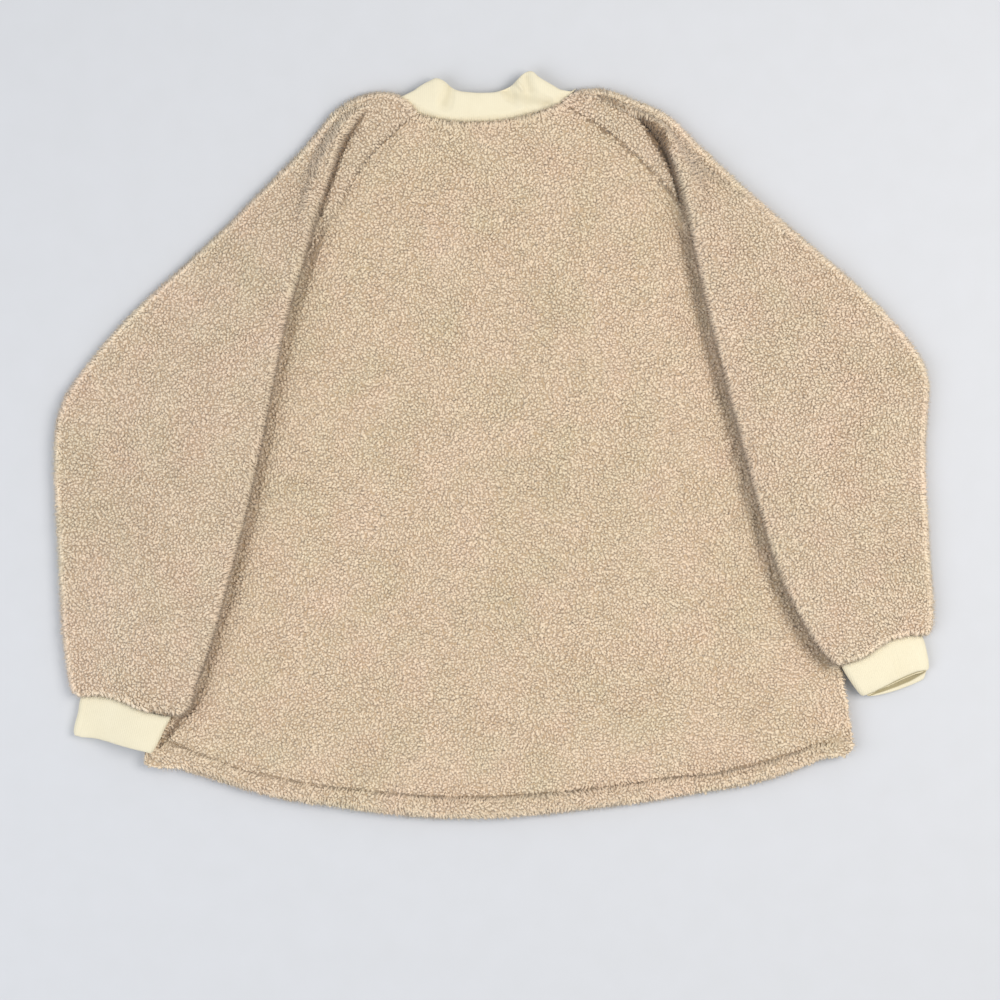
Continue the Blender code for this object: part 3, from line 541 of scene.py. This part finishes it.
def crease_height(x, y, creases):
    """Height in metres of the soft troughs and ridges at a point, and how much painted shade darkens the
    cloth there.
    """
    height = 0.0
    darkest = 0.0
    for points, depth, *dark in creases:
        nearest = 0.0
        for (ax, ay, aw), (bx, by, bw) in zip(points, points[1:]):
            run = (bx - ax) ** 2 + (by - ay) ** 2
            t = min(max(((x - ax) * (bx - ax) + (y - ay) * (by - ay)) / run, 0.0), 1.0)
            away = math.hypot(x - ax - t * (bx - ax), y - ay - t * (by - ay))
            share = away / (aw + t * (bw - aw))
            if share < 1.0:
                nearest = max(nearest, (1.0 - share * share) ** 2)
        height += depth * nearest
        if dark:
            darkest = max(darkest, nearest * dark[0])
    return height * MM, darkest


def over_cloth(place, normal):
    """Whether fleece lies just outside and below a side of the cloth, as it does along a fold."""
    outside = place + Vector((normal.x, normal.y, 0.0)).normalized() * FOLD_STEP
    return FLEECE.ray_cast(outside, DOWN, FOLD_DROP)[0] is not None


def sunk(place, normal, sink):
    """How far a free point goes in under the pile: less at the sides and beside the rib.

    At a seam the cloth isn't drawn in sideways but pressed against its neighbour."""
    beside_rib = RIB.find_nearest(place, RIB_REACH)[3]
    if beside_rib is not None:
        sink *= beside_rib / RIB_REACH
    sideways = Vector((normal.x, normal.y, 0.0))
    level = place - Vector((0.0, 0.0, SEAM_DEPTH))
    if sideways.length > SEAM_SLANT and blocked(level, sideways.normalized(), SEAM_REACH):
        return Vector((0.0, 0.0, SEAM_SINK * normal.z * sink)) - sideways * SEAM_PRESS
    return normal * (sink * (SIDE_SINK + (1.0 - SIDE_SINK) * abs(normal.z)))


def kept_mesh(mesh, name):
    """Mesh data of a bmesh, which is freed."""
    data = bpy.data.meshes.new(name)
    mesh.to_mesh(data)
    mesh.free()
    return data


def store(data, **values):
    """Store a number for each point of a mesh, under each name."""
    for name, numbers in values.items():
        data.attributes.new(name, "FLOAT", "POINT").data.foreach_set("value", numbers)


def smooth_copy(node, name, levels):
    """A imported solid's mesh with its triangles joined where they can be, and subdivided."""
    mesh = bmesh.new()
    mesh.from_mesh(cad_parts[node].data)
    bmesh.ops.remove_doubles(mesh, verts=mesh.verts, dist=MERGE_REACH)
    bmesh.ops.join_triangles(mesh, faces=mesh.faces[:], angle_face_threshold=JOIN_TURN,
                             angle_shape_threshold=JOIN_SHAPE)
    cage = kept_mesh(mesh, name)
    shell = bpy.data.objects.new(name, cage)
    bpy.context.scene.collection.objects.link(shell)
    smoothing = shell.modifiers.new("Smooth cloth", "SUBSURF")
    smoothing.levels = levels
    smoothing.render_levels = levels
    fixed = bpy.data.meshes.new_from_object(shell.evaluated_get(bpy.context.evaluated_depsgraph_get()))
    shell.modifiers.clear()
    shell.data = fixed
    bpy.data.meshes.remove(cage)
    fixed.name = name
    return shell


def cloth_shell(node, name, material, levels, sink, creases=(), waves=0.0, pulls=()):
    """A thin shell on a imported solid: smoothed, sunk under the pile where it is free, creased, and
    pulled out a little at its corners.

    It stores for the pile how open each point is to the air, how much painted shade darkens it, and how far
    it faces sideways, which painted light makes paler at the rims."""
    shell = smooth_copy(node, name, levels)
    data = shell.data
    directions = sky_directions()
    rows = []
    for vertex in data.vertices:
        place, normal = vertex.co.copy(), vertex.normal.copy()
        seen = openness(place, normal, directions)
        if sink > 0.0 and (seen > 0.0 or not blocked(place, normal, CONTACT_REACH)):
            place -= sunk(place, normal, sink)
        top = max(normal.z, 0.0) * min(1.0, OPEN_GAIN * seen)
        darkness = 0.0
        if top > 0.0:
            x, y = place.x / MM, place.y / MM
            rise, darkness = crease_height(x, y, creases)
            rise += waves * noise.noise(Vector((x / WAVE_RUN, y / WAVE_RUN, 0.0)))
            place.z += top * rise
        for x, y, shift_x, shift_y, reach in pulls:
            share = math.hypot(vertex.co.x / MM - x, vertex.co.y / MM - y) / reach
            if share < 1.0:
                place += Vector((shift_x, shift_y, 0.0)) * (MM * (1.0 - share * share) ** 2)
        side = 1.0 - abs(normal.z)
        # Painted shade on the sides of a fold that lies over other cloth, which then get no painted rim light
        if sink > 0.0 and side > LEAST_SIDE and over_cloth(vertex.co, normal):
            darkness = max(darkness, FOLD_SHADE * side)
            side = 0.0
        rows.append((place, seen, darkness, side, EVEN_TUFT))
    places, open_air, pocket, rim, tuft = zip(*rows)
    for vertex, place in zip(data.vertices, places):
        vertex.co = place
    store(data, open=open_air, pocket=pocket, rim=rim, tuft=tuft)
    data.shade_smooth()
    data.materials.clear()
    data.materials.append(material)
    return shell


def tuft_mesh(name, bend, blunt):
    """A curled tuft of unit length, width and height, lying along +X, as a closed bean of 10 faces."""
    foot, crest = -0.1, 0.75
    points = [(-0.5, 0.0, foot), (-0.16, -0.48, foot), (0.4, -0.36 * blunt, foot), (0.42, 0.34 * blunt, foot),
              (-0.14, 0.5, foot), (-0.2, 0.0, 0.66), (0.2, 0.04, 0.76)]
    mesh = bmesh.new()
    bmesh.ops.convex_hull(mesh, input=[mesh.verts.new(point) for point in points])
    for vertex in mesh.verts:
        vertex.co.y += bend * (1.0 - 4.0 * vertex.co.x ** 2)
    bmesh.ops.triangulate(mesh, faces=mesh.faces[:])
    bmesh.ops.recalc_face_normals(mesh, faces=mesh.faces[:])
    data = kept_mesh(mesh, name)
    store(data, tip=[min(max((vertex.co.z - foot) / (crest - foot), 0.0), 1.0) for vertex in data.vertices])
    data.shade_smooth()
    return data


def strand_mesh(name, lean):
    """A loose fibre of unit length and thickness along +X, as a closed spike of four faces."""
    mesh = bmesh.new()
    foot = [mesh.verts.new((-0.1, 0.5 * math.cos(math.tau * index / 3), 0.5 * math.sin(math.tau * index / 3)))
            for index in range(3)]
    bmesh.ops.convex_hull(mesh, input=foot + [mesh.verts.new((1.0, 0.0, lean))])
    bmesh.ops.recalc_face_normals(mesh, faces=mesh.faces[:])
    data = kept_mesh(mesh, name)
    store(data, tip=[STRAND_TIP] * len(data.vertices))
    data.shade_smooth()
    return data


# Shapes to scatter: how each is made, and its name and numbers
SHAPES = {
    "tufts": (tuft_mesh, (("tuft_left", -0.34, 1.0), ("tuft_straight", 0.05, 0.8), ("tuft_right", 0.3, 1.0),
                          ("tuft_curled", 0.5, 1.15))),
    "strands": (strand_mesh, (("strand_up", 2.2), ("strand_down", -2.6), ("strand_flat", 0.6))),
}


def shapes_of(kind):
    """The collection of shapes of a kind for a tree to scatter; it isn't part of the scene."""
    found = bpy.data.collections.get(kind)
    if found:
        return found
    collection = bpy.data.collections.new(kind)
    make, rows = SHAPES[kind]
    for row in rows:
        collection.objects.link(bpy.data.objects.new(row[0], make(*row)))
    return collection


def new_tree(name, inputs):
    """A Geometry Nodes tree that takes a geometry, named inputs by kind and a material, what adds a node
    to it, and the sockets that feed it."""
    tree = bpy.data.node_groups.new(name, "GeometryNodeTree")
    for kind, titles in {"Geometry": ("Geometry",), **inputs, "Material": ("Material",)}.items():
        for title in titles:
            tree.interface.new_socket(title, in_out="INPUT", socket_type="NodeSocket" + kind)
    tree.interface.new_socket("Geometry", in_out="OUTPUT", socket_type="NodeSocketGeometry")
    return tree, partial(add_node, tree), add_node(tree, "NodeGroupInput").outputs


def end_tree(add, given, geometry):
    """Give what a tree has made its material and hand it out."""
    finished = add("GeometryNodeSetMaterial", values={"Geometry": geometry, "Material": given["Material"]})
    add("NodeGroupOutput", values=(finished,))


def scatter_tree():
    """Scatters shapes over open cloth; they lie along a swirling nap and stand out at the edges."""
    found = bpy.data.node_groups.get("Jacket scatter")
    if found:
        return found
    tree, add, given = new_tree("Jacket scatter", {
        "Collection": ("Shapes",), "Object": ("Seams", "Rib"), "Int": ("Seed",),
        "Float": ("Spacing", "Density", "Length", "Width", "Height", "Lift", "Rim lift", "Comb out",
                  "Least rim", "Nap", "Swirl", "Jitter", "Low", "High", "Seam gap", "Overlap")})
    # What varies from tuft to tuft: the least, the most, and what is added to the seed
    vary = {}
    for title, low, high, more in (
            ("turn", -1.0, 1.0, 11), ("lift", -0.14, 0.22, 23), ("length", 0.7, 1.3, 31),
            ("width", 0.75, 1.25, 37), ("height", 0.7, 1.25, 41), ("tone", 0.0, 1.0, 53)):
        vary[title] = add("FunctionNodeRandomValue", {"data_type": "FLOAT"},
                          {2: low, 3: high, "Seed": add(MATH, "ADD", (given["Seed"], more))}).outputs[1]

    # Only the open cloth between two limits across the jacket is covered: all of it that is steep enough,
    # and what lies beside the rib
    place = add("GeometryNodeInputPosition")
    across = add(SPLIT, values=(place,))
    facing = add(SPLIT, values=(add("GeometryNodeInputNormal"),)).outputs[2]
    steepness = add(MATH, "SUBTRACT", (1.0, add(MATH, "ABSOLUTE", (facing,))))
    open_air = add(NAMED, {"data_type": "FLOAT"}, {"Name": "open"}).outputs["Attribute"]
    rib = add("GeometryNodeObjectInfo", values={"Object": given["Rib"]}).outputs["Geometry"]
    beside = add("GeometryNodeProximity", {"target_element": "FACES"}, (rib,)).outputs
    over = add(MATH, "SUBTRACT", (1.0, add(MATH, "DIVIDE", (beside["Distance"], given["Overlap"]))))
    over = add(MATH, "MULTIPLY", (add(MATH, "MAXIMUM", (over, 0.0)), beside["Is Valid"]))
    chosen = add(MATH, "MAXIMUM", (add(MATH, "GREATER_THAN", (steepness, given["Least rim"])),
                                   add(MATH, "GREATER_THAN", (over, 0.0))))
    for operation, value, limit in (
            ("GREATER_THAN", across, given["Low"]), ("LESS_THAN", across, given["High"]),
            ("GREATER_THAN", open_air, LEAST_OPEN)):
        chosen = add(MATH, "MULTIPLY", (chosen, add(MATH, operation, (value, limit))))
    scattered = add("GeometryNodeDistributePointsOnFaces", {"distribute_method": "POISSON"},
                    {"Mesh": given["Geometry"], "Selection": chosen, "Distance Min": given["Spacing"],
                     "Density Max": given["Density"], "Density Factor": 1.0, "Seed": given["Seed"]}).outputs
    named = add(STORE, {"data_type": "FLOAT_VECTOR", "domain": "POINT"},
                {"Geometry": scattered["Points"], "Name": "outwards", "Value": scattered["Normal"]})
    outwards = add(NAMED, {"data_type": "FLOAT_VECTOR"}, {"Name": "outwards"}).outputs["Attribute"]

    # Along a line of stitches the cloth stays bare
    seams = add("GeometryNodeObjectInfo", values={"Object": given["Seams"]}).outputs["Geometry"]
    nearest = add("GeometryNodeProximity", {"target_element": "EDGES"}, (seams,)).outputs
    near = add(MATH, "LESS_THAN", (nearest["Distance"], given["Seam gap"]))
    kept = add("GeometryNodeDeleteGeometry", {"domain": "POINT"},
               {"Geometry": named, "Selection": add(MATH, "MULTIPLY", (near, nearest["Is Valid"]))})

    # A tuft lies along the nap, which swirls, is combed out at the rims and over the rib beside it
    swirl = add(NOISE, values={"Vector": place, "Scale": given["Swirl"], "Detail": 1.5})
    swirl = add(MATH, "SUBTRACT", (swirl, 0.5))
    angle = add(MATH, "MULTIPLY_ADD", (swirl, SWIRL_TURN, given["Nap"]))
    angle = add(MATH, "ADD", (angle, add(MATH, "MULTIPLY", (given["Jitter"], vary["turn"]))))
    flow = add(JOIN, values=(add(MATH, "COSINE", (angle,)), add(MATH, "SINE", (angle,))))
    level = add(VECTOR_MATH, "MULTIPLY", (outwards, (1.0, 1.0, 0.0)))
    slope = add(VECTOR_MATH, "LENGTH", (level,)).outputs["Value"]
    flow = add(VECTOR_MATH, "MULTIPLY_ADD", (level, add(MATH, "MULTIPLY", (slope, given["Comb out"])), flow))
    towards = add(VECTOR_MATH, "SUBTRACT", (beside["Position"], place))
    towards = add(VECTOR_MATH, "NORMALIZE", (add(VECTOR_MATH, "MULTIPLY", (towards, (1.0, 1.0, 0.0))),))
    flow = add(VECTOR_MATH, "MULTIPLY_ADD", (towards, add(MATH, "MULTIPLY", (over, RIB_COMB)), flow))
    along = add(VECTOR_MATH, "CROSS_PRODUCT", (flow, outwards))
    along = add(VECTOR_MATH, "CROSS_PRODUCT", (outwards, along))

    # It stands up more at the rims than on the flat
    facing = add(SPLIT, values=(outwards,)).outputs[2]
    steepness = add(MATH, "SUBTRACT", (1.0, add(MATH, "ABSOLUTE", (facing,))))
    lift = add(MATH, "MULTIPLY_ADD", (steepness, given["Rim lift"], given["Lift"]))
    lift = add(MATH, "ADD", (lift, vary["lift"]))
    raised = add(VECTOR_MATH, "MULTIPLY_ADD", (outwards, lift, along))
    turned = add("FunctionNodeAxesToRotation", {"primary_axis": "X", "secondary_axis": "Z"},
                 (raised, outwards))

    # Patches of the pile, some 40 mm across, are fuller or more worn
    worn = add(NOISE, values={"Vector": place, "Scale": 24.0, "Detail": 1.0})
    full = add(MAP_RANGE, values={"Value": worn, "From Min": 0.3, "From Max": 0.7, "To Min": 0.7,
                                  "To Max": 1.3})
    size = add(JOIN, values=(
        add(MATH, "MULTIPLY", (given["Length"], vary["length"])),
        add(MATH, "MULTIPLY", (given["Width"], vary["width"])),
        add(MATH, "MULTIPLY", (given["Height"], add(MATH, "MULTIPLY", (full, vary["height"]))))))
    shapes = add("GeometryNodeCollectionInfo", {"transform_space": "ORIGINAL"},
                 {"Collection": given["Shapes"], "Separate Children": True, "Reset Children": True})
    which = add("FunctionNodeRandomValue", {"data_type": "INT"},
                {4: 0, 5: 3, "Seed": add(MATH, "ADD", (given["Seed"], 3))}).outputs[2]
    placed = add("GeometryNodeInstanceOnPoints", values={
        "Points": kept, "Instance": shapes, "Pick Instance": True, "Instance Index": which,
        "Rotation": turned, "Scale": size})
    toned = add(STORE, {"data_type": "FLOAT", "domain": "INSTANCE"},
                {"Geometry": placed, "Name": "tuft", "Value": vary["tone"]})
    real = add("GeometryNodeRealizeInstances", values=(toned,))

    # Nothing goes into the floor
    axes = add(SPLIT, values=(place,)).outputs
    on_floor = add(JOIN, values=(axes[0], axes[1], add(MATH, "MAXIMUM", (axes[2], 0.1 * MM))))
    laid = add("GeometryNodeSetPosition", values={"Geometry": real, "Position": on_floor})
    end_tree(add, given, laid)
    return tree


def grow(tree, source, name, material, **inputs):
    """Run a tree on a copy of the source mesh and keep the result as a plain mesh."""
    piece = bpy.data.objects.new(name, source.data.copy() if source else bpy.data.meshes.new(name))
    bpy.context.scene.collection.objects.link(piece)
    modifier = piece.modifiers.new("Grow", "NODES")
    modifier.node_group = tree
    identifiers = {item.name: item.identifier for item in tree.interface.items_tree if item.in_out == "INPUT"}
    for key, value in (*inputs.items(), ("material", material)):
        modifier[identifiers[key.replace("_", " ").capitalize()]] = value
    piece.data.update()
    result = bpy.data.meshes.new_from_object(piece.evaluated_get(bpy.context.evaluated_depsgraph_get()))
    piece.modifiers.clear()
    old = piece.data
    piece.data = result
    bpy.data.meshes.remove(old)
    result.name = name
    if not result.polygons:
        raise RuntimeError(f"{name}: the tree made nothing")
    for attribute in [a.name for a in result.attributes if a.name in ("outwards", "open")]:
        result.attributes.remove(result.attributes[attribute])
    return piece


def stitch_tree():
    """Sewn stitches along a line of edges: short rounded threads with gaps between them."""
    tree, add, given = new_tree("Jacket stitches", {"Float": ("Spacing", "Length", "Width")})
    line = add("GeometryNodeMeshToCurve", values={"Mesh": given["Geometry"]})
    points = add("GeometryNodeCurveToPoints", {"mode": "LENGTH"},
                 {"Curve": line, "Length": given["Spacing"]}).outputs
    thread = add("GeometryNodeMeshUVSphere", values={"Segments": 6, "Rings": 5, "Radius": 0.5})
    size = add(JOIN, values=(given["Width"], given["Width"], given["Length"]))
    placed = add("GeometryNodeInstanceOnPoints", values={
        "Points": points["Points"], "Instance": thread, "Rotation": points["Rotation"], "Scale": size})
    real = add("GeometryNodeRealizeInstances", values=(placed,))
    end_tree(add, given, add("GeometryNodeSetShadeSmooth", values=(real,)))
    return tree


def tooth_pair():
    """Two interlocked zip teeth, one from each tape, round the middle of the chain."""
    mesh = bmesh.new()
    for side in (-1.0, 1.0):
        place = Matrix.Translation((side * TOOTH_SHIFT, side * 0.25 * ZIP_PITCH, 0.0))
        bmesh.ops.create_cube(mesh, size=1.0, matrix=place @ Matrix.Diagonal((*ZIP_TOOTH, 1.0)))
    bmesh.ops.bevel(mesh, geom=mesh.edges[:], offset=TOOTH_BEVEL, segments=1, affect="EDGES")
    return bpy.data.objects.new("zip_tooth_pair", kept_mesh(mesh, "zip_tooth_pair"))


def teeth_tree():
    """Pairs of zip teeth at an even pitch along +Y."""
    tree, add, given = new_tree("Jacket zip teeth", {
        "Object": ("Shape",), "Vector": ("Start",), "Float": ("Pitch",), "Int": ("Count",)})
    step = add(JOIN, values={1: given["Pitch"]})
    places = add("GeometryNodeMeshLine", {"mode": "OFFSET"}, {
        "Count": given["Count"], "Start Location": given["Start"], "Offset": step})
    shape = add("GeometryNodeObjectInfo", values={"Object": given["Shape"]}).outputs["Geometry"]
    placed = add("GeometryNodeInstanceOnPoints", values={"Points": places, "Instance": shape})
    end_tree(add, given, add("GeometryNodeRealizeInstances", values=(placed,)))
    return tree


def line_on(shell, name, points, rise):
    """A line of edges laid on a shell; points are in millimetres, rise is its height over the cloth."""
    surface = BVHTree.FromObject(shell, bpy.context.evaluated_depsgraph_get())
    places = []
    for (ax, ay), (bx, by) in zip(points, points[1:]):
        count = max(1, round(math.hypot(bx - ax, by - ay) / LINE_STEP))
        for index in range(count):
            t = index / count
            above = Vector(((ax + t * (bx - ax)) * MM, (ay + t * (by - ay)) * MM, LINE_TOP))
            hit = surface.ray_cast(above, DOWN)[0]
            if hit is not None:
                places.append(hit + Vector((0.0, 0.0, rise)))
    mesh = bpy.data.meshes.new(name)
    mesh.from_pydata(places, [(index, index + 1) for index in range(len(places) - 1)], [])
    return bpy.data.objects.new(name, mesh)


def rib_solids():
    """The collar and cuffs as one mesh, beside which the pile is combed over them."""
    found = bpy.data.objects.get("rib_solids")
    if found:
        return found
    mesh = bmesh.new()
    for node in RIB_NODES:
        mesh.from_mesh(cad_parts[node].data)
    return bpy.data.objects.new("rib_solids", kept_mesh(mesh, "rib_solids"))


def settle(piece):
    """Ride a piece on the jacket's body."""
    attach(piece, BODY)
    return piece


def pile_on(shell, material, bands=(WHOLE,), nap=-1.4, swirl=9.0, seed=0, seams=None):
    """Sherpa tufts all over the open side of a shell, and longer tufts and fibres at its free edges."""
    pile = bpy.context.scene.jacket_pile
    bare = {"seams": seams, "seam_gap": SEAM_BARE} if seams else {}
    tufts = {**TUFTS, **{size: getattr(pile, size) for size in ("spacing", "length", "width", "height")}}
    kinds = [("pile" + (f"_{index + 1}" if len(bands) > 1 else ""), "tufts", band, index, tufts)
             for index, band in enumerate(bands)]
    kinds.append(("fringe", "tufts", WHOLE, 200, {"length": pile.fringe, **FRINGE}))
    kinds.append(("fibres", "strands", WHOLE, 100, {"length": pile.fibre, **FIBRES}))
    grown = []
    for kind, shapes, (low, high), more, sizes in kinds:
        piece = grow(scatter_tree(), shell, shell.name.replace("shell", kind), material, nap=nap,
                     swirl=swirl, rib=rib_solids(), overlap=RIB_REACH, shapes=shapes_of(shapes), low=low,
                     high=high, seed=pile.seed + seed + more, **sizes, **bare)
        grown.append(settle(piece))
    return grown


def declare_cloth(shell, node):
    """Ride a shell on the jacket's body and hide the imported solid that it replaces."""
    settle(shell)
    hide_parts(node)


def flat_uv(shell, across, along):
    """UV map in millimetres: across the wales and along them."""
    layer = shell.data.uv_layers.new(name="knit")
    for loop in shell.data.loops:
        place = shell.data.vertices[loop.vertex_index].co / MM
        layer.data[loop.index].uv = (place.dot(Vector((*across, 0.0))), place.dot(Vector((*along, 0.0))))


class JACKET_OT_back(bpy.types.Operator):
    """Back panel: sherpa shell, tufts and the fibres at its hem"""
    bl_idname = "jacket.back"
    bl_label = "Back"

    def execute(self, context):
        pile = context.scene.jacket_pile
        shell = cloth_shell("back", "back_shell", fleece("body", True), 3, pile.sink,
                            BACK_CREASES + (HEM_GROOVE, HEM_RIDGE), BACK_WAVES, HEM_PULLS)
        line = line_on(shell, "hem_line", HEM_STITCHES, LINE_RISE)
        grown = pile_on(shell, fleece("body"), bands=BACK_BANDS, seams=line)
        thread = material_named("spun_polyester_thread", sewing_thread)
        stitches = grow(stitch_tree(), line, "hem_stitches", thread, **STITCHES)
        grown.append(settle(stitches))
        declare_cloth(shell, "back")
        return {"FINISHED"}


class JACKET_OT_fronts(bpy.types.Operator):
    """Left and right front under the back, with tufts only at their open edges"""
    bl_idname = "jacket.fronts"
    bl_label = "Fronts"

    def execute(self, context):
        for index, node in enumerate(("front_left", "front_right")):
            shell = cloth_shell(node, node + "_shell", fleece("body", True), 3, FRONT_SINK)
            grown = pile_on(shell, fleece("body"), seed=20 + index)
            declare_cloth(shell, node)
        return {"FINISHED"}


class JACKET_OT_sleeves(bpy.types.Operator):
    """Raglan sleeves folded down over the back"""
    bl_idname = "jacket.sleeves"
    bl_label = "Sleeves"

    def execute(self, context):
        pile = context.scene.jacket_pile
        for index, (node, creases, nap) in enumerate((("sleeve_left", LEFT_SLEEVE_CREASES, -0.3),
                                                      ("sleeve_right", RIGHT_SLEEVE_CREASES, -1.9))):
            shell = cloth_shell(node, node + "_shell", fleece("sleeve", True), 2, pile.sink, creases,
                                SLEEVE_WAVES, WRIST_PULLS)
            grown = pile_on(shell, fleece("sleeve"), nap=nap, swirl=7.0, seed=40 + index)
            declare_cloth(shell, node)
        return {"FINISHED"}


class JACKET_OT_rib(bpy.types.Operator):
    """Rib-knit collar and cuffs"""
    bl_idname = "jacket.rib"
    bl_label = "Collar and cuffs"

    def execute(self, context):
        material = material_named("cotton_rib_knit", rib_knit)
        for node, levels, creases, across, along in (
                ("collar", 3, COLLAR_CREASES, (1.0, 0.0), (0.0, 1.0)),
                ("cuff_left", 3, (), (0.97, -0.24), (0.24, 0.97)),
                ("cuff_right", 3, CUFF_CREASES, (0.95, 0.3), (-0.3, 0.95))):
            shell = cloth_shell(node, node + "_shell", material, levels, 0.0, creases,
                                pulls=COLLAR_PULLS if node == "collar" else CUFF_PULLS)
            flat_uv(shell, across, along)
            declare_cloth(shell, node)
        return {"FINISHED"}


class JACKET_OT_zip(bpy.types.Operator):
    """Closed zip between the fronts: woven tapes, and a chain of moulded teeth that faces the floor"""
    bl_idname = "jacket.zip"
    bl_label = "Zip"

    def execute(self, context):
        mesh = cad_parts["zip"].data
        acetal = material_named("moulded_acetal", moulded_acetal)
        mesh.materials.clear()
        mesh.materials.append(material_named("woven_polyester_tape", woven_tape))
        mesh.materials.append(acetal)
        low, high = (Vector([end(vertex.co[axis] for vertex in mesh.vertices) for axis in range(3)])
                     for end in (min, max))
        middle = 0.5 * (low.x + high.x)
        for polygon in mesh.polygons:
            in_chain = abs(polygon.center.x - middle) < CHAIN_HALF and polygon.center.z < low.z + CHAIN_RISE
            polygon.material_index = int(in_chain)
        count = int((high.y - low.y - 2.0 * ZIP_END) / ZIP_PITCH)
        teeth = grow(teeth_tree(), None, "zip_teeth", acetal, shape=tooth_pair(), pitch=ZIP_PITCH,
                     count=count, start=(middle, low.y + ZIP_END, low.z))
        settle(teeth)
        return {"FINISHED"}


class JACKET_OT_stage(bpy.types.Operator):
    """Pale floor, soft light from the upper right and the camera overhead"""
    bl_idname = "jacket.stage"
    bl_label = "Stage"

    def execute(self, context):
        stage = context.scene.jacket_stage
        bpy.ops.mesh.primitive_plane_add(size=FLOOR_SIZE, location=(0.0, 0.0, FLOOR_LEVEL))
        floor = context.active_object
        floor.name = "floor"
        floor.data.materials.append(material_named("painted_studio_floor", pale_floor))
        aim = Vector(stage.aim)
        lens = bpy.data.cameras.new("overhead")
        lens.sensor_width = SENSOR
        lens.lens = SENSOR * (stage.camera_height - aim.z) / stage.view_width
        lens.clip_start = 0.05
        camera = bpy.data.objects.new("overhead", lens)
        camera.location = (aim.x, aim.y, stage.camera_height)
        camera.rotation_euler = (0.0, 0.0, stage.roll)
        context.scene.collection.objects.link(camera)
        context.scene.camera = camera
        for name, place, size, power, tint in LIGHTS:
            light = bpy.data.lights.new(name, "AREA")
            light.size = size
            light.energy = power
            light.color = srgb(tint)[:3]
            item = bpy.data.objects.new(name, light)
            item.location = place
            item.rotation_euler = (Vector(LIGHT_AIM) - Vector(place)).to_track_quat("-Z", "Y").to_euler()
            context.scene.collection.objects.link(item)
        context.scene.view_settings.view_transform = "Standard"
        world = bpy.data.worlds.new("soft_room")
        world.use_nodes = True
        world.node_tree.nodes["Background"].inputs["Color"].default_value = srgb("#E9EDF2")
        world.node_tree.nodes["Background"].inputs["Strength"].default_value = 0.7
        context.scene.world = world
        return {"FINISHED"}


class JACKET_PT_panel(bpy.types.Panel):
    """Sizes, colours and pieces of the jacket"""
    bl_idname = "JACKET_PT_panel"
    bl_label = "Sherpa Bomber Jacket"
    bl_space_type = "VIEW_3D"
    bl_region_type = "UI"
    bl_category = "Jacket"

    def draw(self, context):
        for group_name in GROUPS:
            group = getattr(context.scene, group_name)
            column = self.layout.column()
            for name in group.__annotations__:
                column.prop(group, name)
        for operator in OPERATORS:
            self.layout.operator(operator.bl_idname)


OPERATORS = (JACKET_OT_stage, JACKET_OT_back, JACKET_OT_fronts, JACKET_OT_sleeves, JACKET_OT_rib,
             JACKET_OT_zip)
GROUPS = {"jacket_pile": JacketPile, "jacket_colours": JacketColours, "jacket_stage": JacketStage}
CLASSES = (*GROUPS.values(), *OPERATORS, JACKET_PT_panel)


def register():
    for item in CLASSES:
        bpy.utils.register_class(item)
    for name, group in GROUPS.items():
        setattr(bpy.types.Scene, name, PointerProperty(type=group))


def unregister():
    for name in GROUPS:
        delattr(bpy.types.Scene, name)
    for item in reversed(CLASSES):
        bpy.utils.unregister_class(item)


def main():
    register()
    for operator in OPERATORS:
        group, action = operator.bl_idname.split(".")
        getattr(getattr(bpy.ops, group), action)()


if __name__ == "__main__":
    main()
